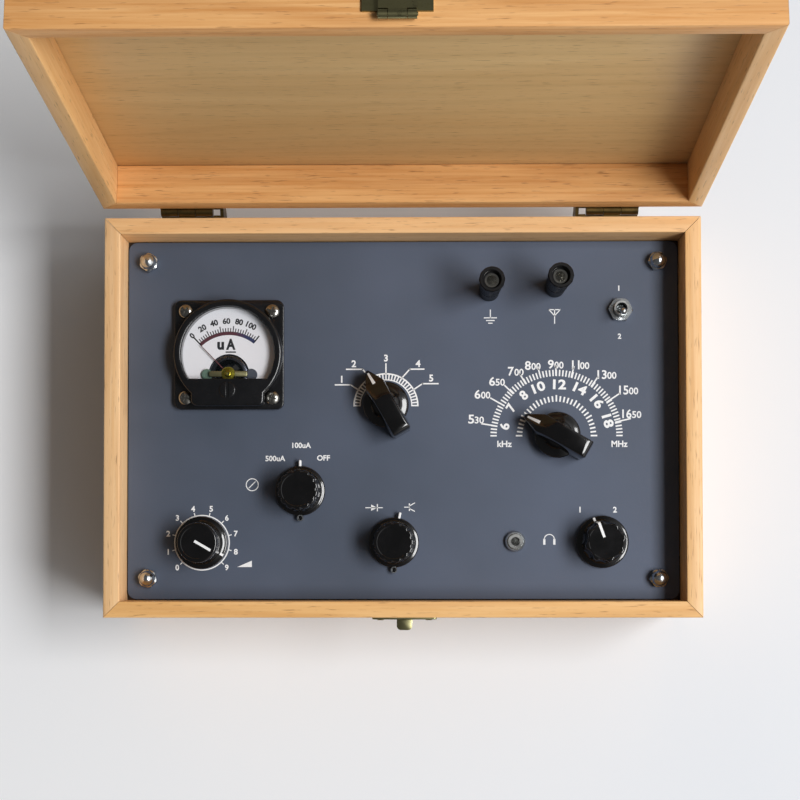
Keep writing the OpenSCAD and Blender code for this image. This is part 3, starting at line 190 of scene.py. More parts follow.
def shift(x: float = 0.0, y: float = 0.0, z: float = 0.0) -> Matrix:
    """Gives the matrix of a shift in millimetres."""
    return Matrix.Translation((x, y, z))


def turn(angle: float, axis: str = "Z") -> Matrix:
    """Gives the matrix of a turn in degrees about an axis through the origin."""
    return Matrix.Rotation(math.radians(angle), 4, axis)


def at_clock(x: float, y: float, angle: float) -> Matrix:
    """Gives the place of a control that points to a clock angle."""
    return shift(x, y) @ turn(-angle)


def clock(radius: float, angle: float) -> Point:
    """Gives the point at a radius and clock angle."""
    a = math.radians(angle)
    return radius * math.sin(a), radius * math.cos(a)


def arc(
    radius: float, start: float, end: float, steps: int, x: float = 0.0, y: float = 0.0,
    squash: float = 1.0,
) -> Loop:
    """Gives the points of an arc.

    Args:
        radius: Radius along X.
        start: First angle in degrees, anticlockwise from X.
        end: Last angle.
        steps: Steps between the two.
        x: Centre, left to right.
        y: Centre, front to back.
        squash: Radius along Y as a share of the one along X.

    Returns:
        One point more than there are steps.
    """
    angles = [math.radians(start + (end - start) * k / steps) for k in range(steps + 1)]
    return [(x + radius * math.cos(a), y + squash * radius * math.sin(a)) for a in angles]


def circle(radius: float, x: float = 0.0, y: float = 0.0, count: int = 64) -> Loop:
    """Gives an anticlockwise circle as a loop."""
    return arc(radius, 0.0, 360.0, count, x, y)[:-1]


def rounded(width: float, depth: float, radius: float, steps: int = 6) -> Loop:
    """Gives an anticlockwise rectangle with round corners about the origin.

    Args:
        width: Its width.
        depth: Its depth.
        radius: Radius of its corners.
        steps: Steps in each corner.

    Returns:
        The loop.
    """
    loop, cx, cy = [], width / 2 - radius, depth / 2 - radius
    for i, (sx, sy) in enumerate(((1, 1), (-1, 1), (-1, -1), (1, -1))):
        loop += arc(radius, 90.0 * i, 90.0 * (i + 1), steps, sx * cx, sy * cy)
    return loop


def hole(loop: Loop) -> Loop:
    """Gives a loop turned the other way round, as a hole needs it."""
    return loop[::-1]


def turned(levels: Sequence[Point], count: int = 72, shape: Shape | None = None) -> Shell:
    """Makes a solid of revolution about Z.

    Args:
        levels: Radius and height of each level; a level of radius 0 is a pole, and without
            poles the last level joins the first, which gives a ring.
        count: Corners round each level.
        shape: Gives the radius at an angle in radians, a level's radius and its height.

    Returns:
        The closed solid.
    """
    shell, rows = Shell(), []
    for radius, height in levels:
        row, steps = [], 1 if radius <= 1e-6 else count
        for k in range(steps):
            a = 2.0 * math.pi * k / count
            r = shape(a, radius, height) if shape and steps > 1 else radius
            row.append(len(shell.verts))
            shell.verts.append(Vector((r * math.sin(a), r * math.cos(a), height)))
        rows.append(row)
    pairs = list(zip(rows, rows[1:]))
    if len(rows[0]) > 1 and len(rows[-1]) > 1:
        pairs.append((rows[-1], rows[0]))
    for low, high in pairs:
        for k in range(count):
            n = (k + 1) % count
            ends = [low[k % len(low)], low[n % len(low)], high[n % len(high)], high[k % len(high)]]
            shell.faces.append(tuple(dict.fromkeys(ends)))
    return shell


def rod(radius: float, low: float, high: float, count: int) -> Shell:
    """Makes a plain upright cylinder between two heights."""
    return turned([(0.0, low), (radius, low), (radius, high), (0.0, high)], count)


def inward(loop: Loop) -> list[Point]:
    """Gives, for each corner of a loop, the step that sets both its sides 1 mm to the left.

    Args:
        loop: The corners, with the material on the left.

    Returns:
        One step for each corner.
    """
    steps = []
    for i, (x, y) in enumerate(loop):
        px, py = loop[i - 1]
        nx, ny = loop[(i + 1) % len(loop)]
        a = Vector((x - px, y - py)).normalized()
        b = Vector((nx - x, ny - y)).normalized()
        left_a, left_b = Vector((-a.y, a.x)), Vector((-b.y, b.x))
        steps.append(tuple((left_a + left_b) / max(0.2, 1.0 + left_a.dot(left_b))))
    return steps


def joined(shell: Shell, low: Sequence[int], high: Sequence[int]) -> None:
    """Closes the strip between two rows of corners.

    Args:
        shell: The shell that gets the faces.
        low: Numbers of the corners in the first row.
        high: Numbers of the corners in the second row.
    """
    for k in range(len(low)):
        n = (k + 1) % len(low)
        shell.faces.append((low[k], low[n], high[n], high[k]))


def slab(
    outlines: Sequence[Loop], profile: Sequence[Point],
    hole_profile: Sequence[Point] | None = None,
) -> Shell:
    """Makes a plate with worked edges.

    Args:
        outlines: The outer loop anticlockwise, then each hole clockwise.
        profile: How far the edge is drawn back, and at which height, from the lowest face up.
        hole_profile: The same for the holes, where it differs.

    Returns:
        The closed solid.
    """
    shell, ends = Shell(), ([], [])
    for index, loop in enumerate(outlines):
        steps, rows = inward(loop), []
        for inset, height in profile if index == 0 or hole_profile is None else hole_profile:
            rows.append(list(range(len(shell.verts), len(shell.verts) + len(loop))))
            shell.verts.extend(
                Vector((x + inset * sx, y + inset * sy, height))
                for (x, y), (sx, sy) in zip(loop, steps)
            )
        for low, high in zip(rows, rows[1:]):
            joined(shell, low, high)
        ends[0].append(rows[0])
        ends[1].append(rows[-1])
    for rows in ends:
        if len(rows) == 1:
            shell.faces.append(tuple(rows[0]))
            continue
        flat = [i for row in rows for i in row]
        for tri in tessellate_polygon([[shell.verts[i] for i in row] for row in rows]):
            shell.faces.append(tuple(flat[t] for t in tri))
    return shell


def prism(loops: Sequence[Loop], low: float, high: float) -> Shell:
    """Makes a plain plate between two heights."""
    return slab(loops, [(0.0, low), (0.0, high)])


def inked(loops: Sequence[Loop], z: float = PANEL_Z) -> Shell:
    """Makes a thin printed patch on a face."""
    return prism(loops, z - INK_SINK, z + INK_T)


def eased(low: float, high: float, r_low: float, r_high: float, steps: int = 3) -> list[Point]:
    """Gives the profile of a plate with rounded edges.

    Args:
        low: Height of the lower face.
        high: Height of the upper face.
        r_low: Radius of the lower edge, 0 for a sharp one.
        r_high: Radius of the upper edge, 0 for a sharp one.
        steps: Steps in each rounding.

    Returns:
        Inset and height from the bottom to the top.
    """
    start = arc(r_low, 270.0, 180.0, steps, r_low, low + r_low) if r_low else [(0.0, low)]
    end = arc(r_high, 180.0, 90.0, steps, r_high, high - r_high) if r_high else [(0.0, high)]
    return start + end


def softened(shell: Shell, width: float, segments: int = 2, sharp: float = 35.0) -> Shell:
    """Rounds the sharp edges of a shell.

    Args:
        shell: The shell to work on.
        width: Width of the rounding in millimetres.
        segments: Steps in the rounding.
        sharp: Edges that turn by more than this, in degrees, are rounded.

    Returns:
        The softened shell.
    """
    work = shell.to_bmesh()
    edges = [e for e in work.edges if e.calc_face_angle(0.0) > math.radians(sharp)]
    bmesh.ops.bevel(
        work, geom=edges, offset=width, offset_type="OFFSET", segments=segments, profile=0.5,
        affect="EDGES", clamp_overlap=True,
    )
    return from_bmesh(work)


def brick(
    low: Sequence[float], high: Sequence[float], ease: float = 0.0, segments: int = 2
) -> Shell:
    """Makes a block between two corners, with eased edges where asked.

    Args:
        low: The corner nearest to the left, the front and the bottom.
        high: The opposite corner.
        ease: Width of the rounding, 0 for sharp edges.
        segments: Steps in the rounding.

    Returns:
        The block.
    """
    loop = [(low[0], low[1]), (high[0], low[1]), (high[0], high[1]), (low[0], high[1])]
    block = prism([loop], low[2], high[2])
    return softened(block, ease, segments) if ease else block


def settled(obj: bpy.types.Object) -> Shell:
    """Reads what an object's modifiers make of it, and drops the object.

    Args:
        obj: The object, which is gone afterwards.

    Returns:
        The evaluated shell.
    """
    bpy.context.view_layer.update()
    graph = bpy.context.evaluated_depsgraph_get()
    mesh = bpy.data.meshes.new_from_object(obj.evaluated_get(graph))
    faces = [tuple(p.vertices) for p in mesh.polygons]
    shell = Shell([v.co.copy() for v in mesh.vertices], faces)
    bpy.data.meshes.remove(mesh)
    bpy.data.objects.remove(obj)
    return shell


class Cut(Enum):
    """How one solid works on another."""

    AWAY = "DIFFERENCE"
    COMMON = "INTERSECT"


def worked(base: Shell, tool: Shell, how: Cut = Cut.AWAY) -> Shell:
    """Cuts one solid with another.

    Args:
        base: The solid that is kept.
        tool: The solid that cuts it.
        how: Whether the tool is taken away or only the common part stays.

    Returns:
        The cut solid.
    """
    other, obj = (linked(name, s.to_mesh(name)) for name, s in (("tool", tool), ("base", base)))
    modifier = obj.modifiers.new("cut", "BOOLEAN")
    modifier.operation, modifier.solver, modifier.object = how.value, "EXACT", other
    shell = settled(obj)
    bpy.data.objects.remove(other)
    return shell


def ribbon(path: Sequence[Point], half: Callable[[float], float]) -> Shell:
    """Makes a painted line that runs along Y over a curved top.

    Args:
        path: Y and height of the top at each step.
        half: Gives the line's half width at a Y.

    Returns:
        The closed line.
    """
    shell, sink, proud = Shell(), 0.3, 0.04
    for y, z in path:
        w = half(y)
        shell.verts.extend(Vector(p) for p in (
            (-w, y, z - sink), (w, y, z - sink), (w, y, z + proud), (-w, y, z + proud)))
    rows = [range(4 * k, 4 * k + 4) for k in range(len(path))]
    shell.faces = [tuple(rows[0]), tuple(rows[-1])]
    for low, high in zip(rows, rows[1:]):
        joined(shell, low, high)
    return shell


@dataclass
class Sheet:
    """Ink on a flat face, drawn round a centre."""

    centre: Point = (0.0, 0.0)
    z: float = PANEL_Z
    ink: Shell = field(default_factory=Shell)

    def at(self, spot: Point, dx: float = 0.0, dy: float = 0.0) -> "Sheet":
        """Gives the same sheet round another centre."""
        return Sheet((spot[0] + dx, spot[1] + dy), self.z, self.ink)

    def patch(self, *loops: Loop) -> None:
        """Prints an area, with holes where more loops are given."""
        x, y = self.centre
        self.ink.add(inked([[(x + dx, y + dy) for dx, dy in loop] for loop in loops], self.z))

    def ring(self, inner: float, outer: float, count: int) -> None:
        """Prints a closed ring."""
        self.patch(circle(outer, count=count), hole(circle(inner, count=count)))

    def band(self, inner: float, outer: float, start: float, end: float) -> None:
        """Prints an arc between two radii and two clock angles."""
        low, high, steps = 90.0 - start, 90.0 - end, 48
        self.patch(arc(inner, low, high, steps) + arc(outer, high, low, steps))

    def line(self, width: float, *points: Point) -> None:
        """Prints a line through points.

        Args:
            width: Width of the line.
            points: Its corners.
        """
        for (ax, ay), (bx, by) in zip(points, points[1:]):
            d = Vector((bx - ax, by - ay)).normalized() * (width / 2)
            self.patch([
                (ax - d.x - d.y, ay - d.y + d.x), (ax - d.x + d.y, ay - d.y - d.x),
                (bx + d.x + d.y, by + d.y - d.x), (bx + d.x - d.y, by + d.y + d.x)])

    def spoke(self, width: float, inner: float, outer: float, angle: float) -> None:
        """Prints a line between two radii at a clock angle."""
        self.line(width, clock(inner, angle), clock(outer, angle))

    def text(
        self, words: str, height: float, dx: float, dy: float, angle: float = 0.0,
        bold: float = 0.03, width: float = 0.0,
    ) -> None:
        """Prints figures, centred on a point.

        Args:
            words: The figures or unit to print.
            height: Their height in millimetres.
            dx: Middle of the figures, to the right of the centre.
            dy: Middle of the figures, to the rear of the centre.
            angle: Clock angle that their top points to.
            bold: Extra stroke width, as a share of the height.
            width: Their whole width, or 0 for the font's own.
        """
        curve = bpy.data.curves.new("figures", "FONT")
        curve.body, curve.extrude, curve.offset, curve.resolution_u = words, 0.01, bold, 3
        shell = settled(linked("figures", curve))
        bpy.data.curves.remove(curve)
        low, high = (Vector(pick(v[i] for v in shell.verts) for i in range(3))
                     for pick in (min, max))
        middle, scale = (low + high) / 2, height / (high.y - low.y)
        across = width / (high.x - low.x) if width else scale
        for v in shell.verts:
            top = v.z > middle.z
            v.x, v.y = (v.x - middle.x) * across, (v.y - middle.y) * scale
            v.z = self.z + INK_T if top else self.z - INK_SINK
        self.ink.add(shell.moved(at_clock(self.centre[0] + dx, self.centre[1] + dy, angle)))


# ---------------------------------------------------------------- node trees


class Nodes:
    """A node tree under construction."""

    def __init__(self, tree: bpy.types.NodeTree, prefix: str) -> None:
        """Starts on a tree whose node types begin with the same word."""
        self.tree, self.prefix = tree, prefix

    def feed(self, socket: Socket, given: object) -> None:
        """Links a socket to another one, or sets it to a plain value.

        Args:
            socket: The input.
            given: Another socket or a plain value.
        """
        if isinstance(given, bpy.types.NodeSocket):
            self.tree.links.new(given, socket)
        else:
            socket.default_value = given

    def node(
        self, kind: str, inputs: dict[str | int, object] | None = None, **settings: object
    ) -> bpy.types.Node:
        """Adds a node.

        Args:
            kind: Blender's name of the node type, without the tree's own first word.
            inputs: A socket or a plain value for each input, by name or number.
            settings: The node's own options.

        Returns:
            The node.
        """
        whole = kind.startswith(("Shader", "Function"))
        made = self.tree.nodes.new(kind if whole else self.prefix + kind)
        for key, option in settings.items():
            setattr(made, key, option)
        for key, given in (inputs or {}).items():
            self.feed(made.inputs[key], given)
        return made

    def out(self, kind: str, inputs: dict[str | int, object], **settings: object) -> Socket:
        """Adds a node and gives its first output."""
        return self.node(kind, inputs, **settings).outputs[0]

    def math(self, operation: str, a: object, b: object = 0.0) -> Socket:
        """Adds a math node and gives its result."""
        return self.out("ShaderNodeMath", {0: a, 1: b}, operation=operation)

    def add(self, a: object, b: object) -> Socket:
        """Gives a sum."""
        return self.math("ADD", a, b)

    def times(self, a: object, b: object) -> Socket:
        """Gives a product."""
        return self.math("MULTIPLY", a, b)


class Tree(Nodes):
    """A geometry node tree with named inputs, which grows repeats."""

    def __init__(self, name: str) -> None:
        """Starts a tree that takes and gives a mesh.

        Args:
            name: Name of the node group.
        """
        super().__init__(bpy.data.node_groups.new(name, "GeometryNodeTree"), "GeometryNode")
        for way in ("INPUT", "OUTPUT"):
            self.tree.interface.new_socket(
                "Geometry", in_out=way, socket_type="NodeSocketGeometry")
        self.enter = self.tree.nodes.new("NodeGroupInput")
        self.leave = self.tree.nodes.new("NodeGroupOutput")
        self.ids: dict[str, str] = {}

    def values(self, kind: str, *names: str) -> list[Socket]:
        """Adds named inputs of one kind.

        Args:
            kind: Blender's name of the kind.
            names: The names of the inputs.

        Returns:
            The sockets that carry them.
        """
        out = []
        for name in names:
            item = self.tree.interface.new_socket(
                name, in_out="INPUT", socket_type="NodeSocket" + kind)
            self.ids[name] = item.identifier
            out.append(next(s for s in self.enter.outputs if s.identifier == item.identifier))
        return out

    def close(self, shape: Socket) -> None:
        """Ends the tree with real geometry in one finish.

        Args:
            shape: The geometry that the tree gives.
        """
        real = self.out("RealizeInstances", {0: shape})
        finish, = self.values("Material", "Finish")
        done = self.out("SetMaterial", {"Geometry": real, "Material": finish})
        self.tree.links.new(done, self.leave.inputs[0])

    def scatter(self, points: Socket, piece: Socket, angle: Socket, scale: object) -> None:
        """Ends the tree with a copy of a piece on each point.

        Args:
            points: Where the copies go.
            piece: What is copied.
            angle: Turn of each copy about Z, in radians.
            scale: Size of each copy.
        """
        facing = self.out("ShaderNodeCombineXYZ", {2: angle})
        self.close(self.out("InstanceOnPoints", {
            "Points": points, "Instance": piece, "Scale": scale,
            "Rotation": self.out("FunctionNodeEulerToRotation", {0: facing}),
        }))

    def grow(self, seed: Shell, finish: bpy.types.Material, **values: object) -> Shell:
        """Runs the tree and gives a plain shell.

        Args:
            seed: The mesh that the tree repeats, empty where it needs none.
            finish: The material of the result.
            values: The named inputs, with spaces written as underscores.

        Returns:
            The grown shell in millimetres.
        """
        obj = linked("seed", seed.to_mesh("seed"))
        modifier = obj.modifiers.new("grow", "NODES")
        modifier.node_group = self.tree
        for name, given in {"Finish": finish, **values}.items():
            modifier[self.ids[name.replace("_", " ")]] = given
        return settled(obj)


def ring_tree() -> Tree:
    """Builds the tree that sets bars round an arc: scale marks, ribs of a grip, knurls.

    Returns:
        The tree. Its inputs say how many bars there are, where they stand, how big they are
        and which of them are longer.
    """
    tree = Tree("bars_on_arc")
    count, every = tree.values("Int", "Count", "Every")
    start, sweep, inner, length, width, height, extra = tree.values(
        "Float", "Start", "Sweep", "Inner", "Length", "Width", "Height", "Extra")
    index = tree.out("InputIndex", {})
    share = tree.math("DIVIDE", index, tree.math("SUBTRACT", count, 1.0))
    angle = tree.math("RADIANS", tree.add(start, tree.times(sweep, share)))
    is_long = tree.math("LESS_THAN", tree.math("MODULO", index, every), 0.5)
    reach = tree.add(length, tree.times(is_long, extra))
    radius = tree.add(inner, tree.times(reach, 0.5))
    place = tree.out("ShaderNodeCombineXYZ", {
        0: tree.times(radius, tree.math("SINE", angle)),
        1: tree.times(radius, tree.math("COSINE", angle)),
    })
    points = tree.out("Points", {"Count": count})
    tree.scatter(
        tree.out("SetPosition", {"Geometry": points, "Position": place}),
        tree.out("MeshCube", {"Size": (1.0, 1.0, 1.0)}), tree.times(angle, -1.0),
        tree.out("ShaderNodeCombineXYZ", {0: width, 1: reach, 2: height}))
    return tree


def grid_tree() -> Tree:
    """Builds the tree that repeats a piece on a grid, each copy turned by a seeded chance.

    Returns:
        The tree, with the spans, the counts, the greatest turn and the seed as named inputs.
    """
    tree = Tree("copies_on_grid")
    span_x, span_y, most = tree.values("Float", "Span X", "Span Y", "Most Turn")
    columns, rows, seed = tree.values("Int", "Columns", "Rows", "Seed")
    grid = tree.out("MeshGrid", {
        "Size X": span_x, "Size Y": span_y, "Vertices X": columns, "Vertices Y": rows})
    chance = tree.node("FunctionNodeRandomValue", {
        "Min": tree.times(most, -1.0), "Max": most, "Seed": seed}, data_type="FLOAT")
    drawn = next(s for s in chance.outputs if s.enabled)
    tree.scatter(grid, tree.enter.outputs[0], tree.math("RADIANS", drawn), (1.0, 1.0, 1.0))
    return tree


def spiral_tree() -> Tree:
    """Builds the tree of a flat spiral spring of round wire.

    Returns:
        The tree, with the turns, both radii and the wire's radius as named inputs.
    """
    tree = Tree("hair_spring")
    turns, inner, outer, wire = tree.values("Float", "Turns", "Inner", "Outer", "Wire")
    path = tree.out("CurveSpiral", {
        "Resolution": 40, "Rotations": turns, "Start Radius": inner, "End Radius": outer,
        "Height": 0.0})
    section = tree.out("CurvePrimitiveCircle", {"Resolution": 6, "Radius": wire})
    tree.close(tree.out("CurveToMesh", {
        "Curve": path, "Profile Curve": section, "Fill Caps": True}))
    return tree


# ---------------------------------------------------------------- finishes


def linear(code: str) -> tuple[float, float, float, float]:
    """Turns a hex colour as seen on a screen into Blender's linear values.

    Args:
        code: The colour, such as #dfa968.

    Returns:
        Red, green, blue and full opacity.
    """
    parts = [int(code[i:i + 2], 16) / 255 for i in (1, 3, 5)]
    light = [c / 12.92 if c <= 0.04045 else ((c + 0.055) / 1.055) ** 2.4 for c in parts]
    return light[0], light[1], light[2], 1.0


class Graph(Nodes):
    """A material's node graph under construction."""

    def __init__(self, name: str) -> None:
        """Starts a material with one principled surface, laid out in object coordinates.

        Args:
            name: Name of the material.
        """
        self.material = bpy.data.materials.new(name)
        self.material.use_nodes = True
        super().__init__(self.material.node_tree, "ShaderNode")
        self.shader = next(n for n in self.tree.nodes if n.type == "BSDF_PRINCIPLED")
        self.start = self.node("TexCoord").outputs["Object"]

    def place(
        self, scale: Sequence[float] = (1, 1, 1), spin: Sequence[float] = (0, 0, 0),
        location: Sequence[float] = (0, 0, 0),
    ) -> Socket:
        """Gives the coordinates, turned by degrees and scaled in steps per metre."""
        return self.out("Mapping", {
            "Vector": self.start, "Location": location, "Scale": scale,
            "Rotation": [math.radians(s) for s in spin]})

    def along(self, axis: int) -> Socket:
        """Gives one of the three coordinates."""
        return self.node("SeparateXYZ", {0: self.place()}).outputs[axis]

    def noise(
        self, scale: float, detail: float, rough: float = 0.55, bend: float = 0.0,
        stretch: Sequence[float] = (1, 1, 1), spin: float = 0.0,
    ) -> Socket:
        """Adds a noise pattern.

        Args:
            scale: Its steps per metre, on top of the stretch.
            detail: How many finer layers it has.
            rough: How strong the finer layers are.
            bend: How far it is distorted.
            stretch: Steps per metre along each axis.
            spin: Turn about Z in degrees.

        Returns:
            The pattern's value.
        """
        return self.out("TexNoise", {
            "Vector": self.place(stretch, (0, 0, spin)), "Scale": scale, "Detail": detail,
            "Roughness": rough, "Distortion": bend})

    def span(
        self, value: Socket, low: float, high: float, out_low: float = 0.0,
        out_high: float = 1.0,
    ) -> Socket:
        """Maps a value from one range to another, held within it."""
        return self.out("MapRange", {0: value, 1: low, 2: high, 3: out_low, 4: out_high})

    def mix(self, share: object, a: Socket | str, b: Socket | str) -> Socket:
        """Mixes two colours, each a socket or a hex code."""
        a, b = (linear(c) if isinstance(c, str) else c for c in (a, b))
        return self.node("Mix", {0: share, 6: a, 7: b}, data_type="RGBA").outputs[2]

    def surface(
        self, colour: Socket, rough: object, bump: tuple[Socket, float, float] | None = None,
        **inputs: object,
    ) -> bpy.types.Material:
        """Sets the surface.

        Args:
            colour: Its colour.
            rough: Its roughness.
            bump: The height pattern, its strength and its distance.
            inputs: Other sockets, spaces written as underscores.

        Returns:
            The material.
        """
        if bump:
            names = ("Height", "Strength", "Distance")
            inputs["Normal"] = self.out("Bump", dict(zip(names, bump)))
        for key, given in {"Base_Color": colour, "Roughness": rough, **inputs}.items():
            self.feed(self.shader.inputs[key.replace("_", " ")], given)
        return self.material


class Grain(Enum):
    """Which way the grain runs on a wooden piece, as the turn that lays it along X."""

    ACROSS = 0.0
    DEEP = 90.0


@dataclass(frozen=True)
class Pine:
    """Oiled pine with streaks, growth lines and short dark flecks."""

    name: str
    offset: float
    light: str = "#efc38a"
    mid: str = "#dfa968"
    dark: str = "#b87a3c"
    grain: Grain = Grain.ACROSS
    tilt: float = 0.0
    figure: float = 0.16
    streaks: float = 0.6
    shine: float = 0.46

    def material(self) -> bpy.types.Material:
        """Builds the material.

        Returns:
            The material.
        """
        g = Graph(self.name)
        g.start = g.place(spin=(-self.tilt, 0, 0))
        g.start = g.place(
            spin=(0, 0, self.grain.value), location=(self.offset, self.offset * 0.7, 0))
        streak = g.noise(1.0, 5.0, 0.66, 0.3, (16, 620, 620))
        broad = g.noise(1.0, 2.0, 0.5, 0.6, (5, 60, 60))
        wander = g.noise(1.0, 2.0, 0.5, stretch=(5, 22, 22))
        fleck = g.span(g.noise(1.0, 2.0, 0.5, stretch=(130, 1500, 1500)), 0.61, 0.74)
        phase = g.add(g.times(g.along(1), 620.0), g.times(g.along(2), 410.0))
        late = g.span(g.math("SINE", g.add(phase, g.times(wander, 26.0))), 0.15, 1.0)
        tone = g.add(g.times(g.span(streak, 0.34, 0.68), self.streaks),
                     g.times(g.span(broad, 0.3, 0.7), 1.0 - self.streaks))
        base = g.mix(tone, self.light, self.mid)
        lined = g.mix(g.times(late, self.figure), base, self.dark)
        aged = g.mix(g.times(fleck, 0.55), lined, "#7a4a26")
        rough = g.span(g.add(streak, g.noise(60.0, 3.0)), 0.6, 1.4,
                       self.shine - 0.07, self.shine + 0.09)
        height = g.math("SUBTRACT", g.times(streak, 0.6), g.times(fleck, 0.8))
        return g.surface(aged, rough, (height, 0.35, 0.0003), Coat_Weight=0.1,
                         Coat_Roughness=0.3, Specular_IOR_Level=0.35)


@dataclass(frozen=True)
class Paint:
    """Sprayed paint with a fine orange-peel skin and faint marks, its colour painted lighter
    towards the right as a painted sheen.
    """

    name: str
    tone: str
    other: str
    rough: float = 0.5
    peel: float = 900.0

    def material(self) -> bpy.types.Material:
        """Builds the material.

        Returns:
            The material.
        """
        g = Graph(self.name)
        cloud = g.noise(14.0, 3.0, 0.5)
        rub = g.noise(1.0, 4.0, 0.6, stretch=(60, 900, 60), spin=20)
        # Painted sheen: the colour runs from tone on the left to other on the right along X,
        # standing in for the lamp's sheen, with a random mottle from the cloud noise on top.
        sheen_and_mottle = g.add(g.span(g.along(0), -0.1, 0.1), g.span(cloud, 0.35, 0.65))
        rough = g.span(g.add(cloud, g.times(rub, 0.5)), 0.5, 1.0,
                       self.rough - 0.05, self.rough + 0.07)
        return g.surface(g.mix(g.times(sheen_and_mottle, 0.5), self.tone, self.other), rough,
                         (g.noise(self.peel, 3.0, 0.5), 0.12, 0.0002), Specular_IOR_Level=0.3)


@dataclass(frozen=True)
class Plastic:
    """Moulded plastic with dust and fine handling scratches."""

    name: str
    tone: str
    worn: str
    rough: float = 0.22
    coat: float = 0.0
    shine: float = 0.5

    def material(self) -> bpy.types.Material:
        """Builds the material.

        Returns:
            The material.
        """
        g = Graph(self.name)
        cloud = g.noise(160.0, 4.0, 0.6)
        scratch = g.noise(1.0, 2.0, 0.5, stretch=(300, 5200, 300), spin=35)
        marked = g.add(cloud, g.times(g.span(scratch, 0.64, 0.78), 0.6))
        colour = g.mix(g.times(g.span(cloud, 0.4, 0.75), 0.6), self.tone, self.worn)
        rough = g.span(marked, 0.3, 1.1, self.rough - 0.03, self.rough + 0.12)
        return g.surface(colour, rough, (g.noise(2600.0, 2.0, 0.5), 0.05, 0.00006),
                         Coat_Weight=self.coat, Coat_Roughness=0.06,
                         Specular_IOR_Level=self.shine)


@dataclass(frozen=True)
class Metal:
    """Plated or bare metal with a soft brushed streak and tarnish."""

    name: str
    tone: str
    tarnish: str
    rough: float = 0.25
    share: float = 0.3
    brush: float = 0.25

    def material(self) -> bpy.types.Material:
        """Builds the material.

        Returns:
            The material.
        """
        g = Graph(self.name)
        cloud = g.noise(240.0, 4.0, 0.65)
        lines = g.noise(1.0, 2.0, 0.5, stretch=(200, 6000, 200), spin=12)
        colour = g.mix(g.times(g.span(cloud, 0.42, 0.7), self.share), self.tone, self.tarnish)
        rough = g.span(g.add(cloud, g.times(lines, self.brush)), 0.4, 1.0,
                       self.rough - 0.06, self.rough + 0.16)
        return g.surface(colour, rough, (lines, 0.05 + 0.1 * self.brush, 0.00005), Metallic=1.0)


@dataclass(frozen=True)
class Ink:
    """Screen-printed ink or lacquer: even, slightly worn, a little uneven in gloss."""

    name: str
    tone: str
    worn: str
    rough: float = 0.5

    def material(self) -> bpy.types.Material:
        """Builds the material.

        Returns:
            The material.
        """
        g = Graph(self.name)
        speck = g.noise(1800.0, 3.0, 0.6)
        return g.surface(g.mix(g.span(speck, 0.5, 0.8), self.tone, self.worn),
                         g.span(speck, 0.3, 0.7, self.rough - 0.08, self.rough + 0.08),
                         (speck, 0.05, 0.00005))


@dataclass(frozen=True)
class ScaleInk:
    """The meter's arc ink, which runs from dark red to dark blue along the scale."""

    name: str
    centre_x: float

    def material(self) -> bpy.types.Material:
        """Builds the material.

        Returns:
            The material.
        """
        g = Graph(self.name)
        share = g.span(g.along(0), (self.centre_x + 2.5) * MM, (self.centre_x + 7.5) * MM)
        speck = g.noise(1800.0, 2.0)
        return g.surface(
            g.mix(g.times(speck, 0.4), g.mix(share, "#571e2c", "#1e3164"), "#4a4048"),
            g.span(speck, 0.3, 0.7, 0.45, 0.6), (speck, 0.04, 0.00005))


@dataclass(frozen=True)
class Clear:
    """Thin clear plastic with a few rubbed marks."""

    name: str
    alpha: float = 0.05

    def material(self) -> bpy.types.Material:
        """Builds the material.

        Returns:
            The material.
        """
        g = Graph(self.name)
        rub = g.noise(1.0, 3.0, 0.6, stretch=(120, 1600, 120), spin=30)
        cloud = g.noise(300.0, 2.0)
        return g.surface(g.mix(cloud, "#20262a", "#2c3335"),
                         g.span(g.times(rub, cloud), 0.15, 0.45, 0.04, 0.16),
                         (rub, 0.02, 0.00005), Alpha=self.alpha)


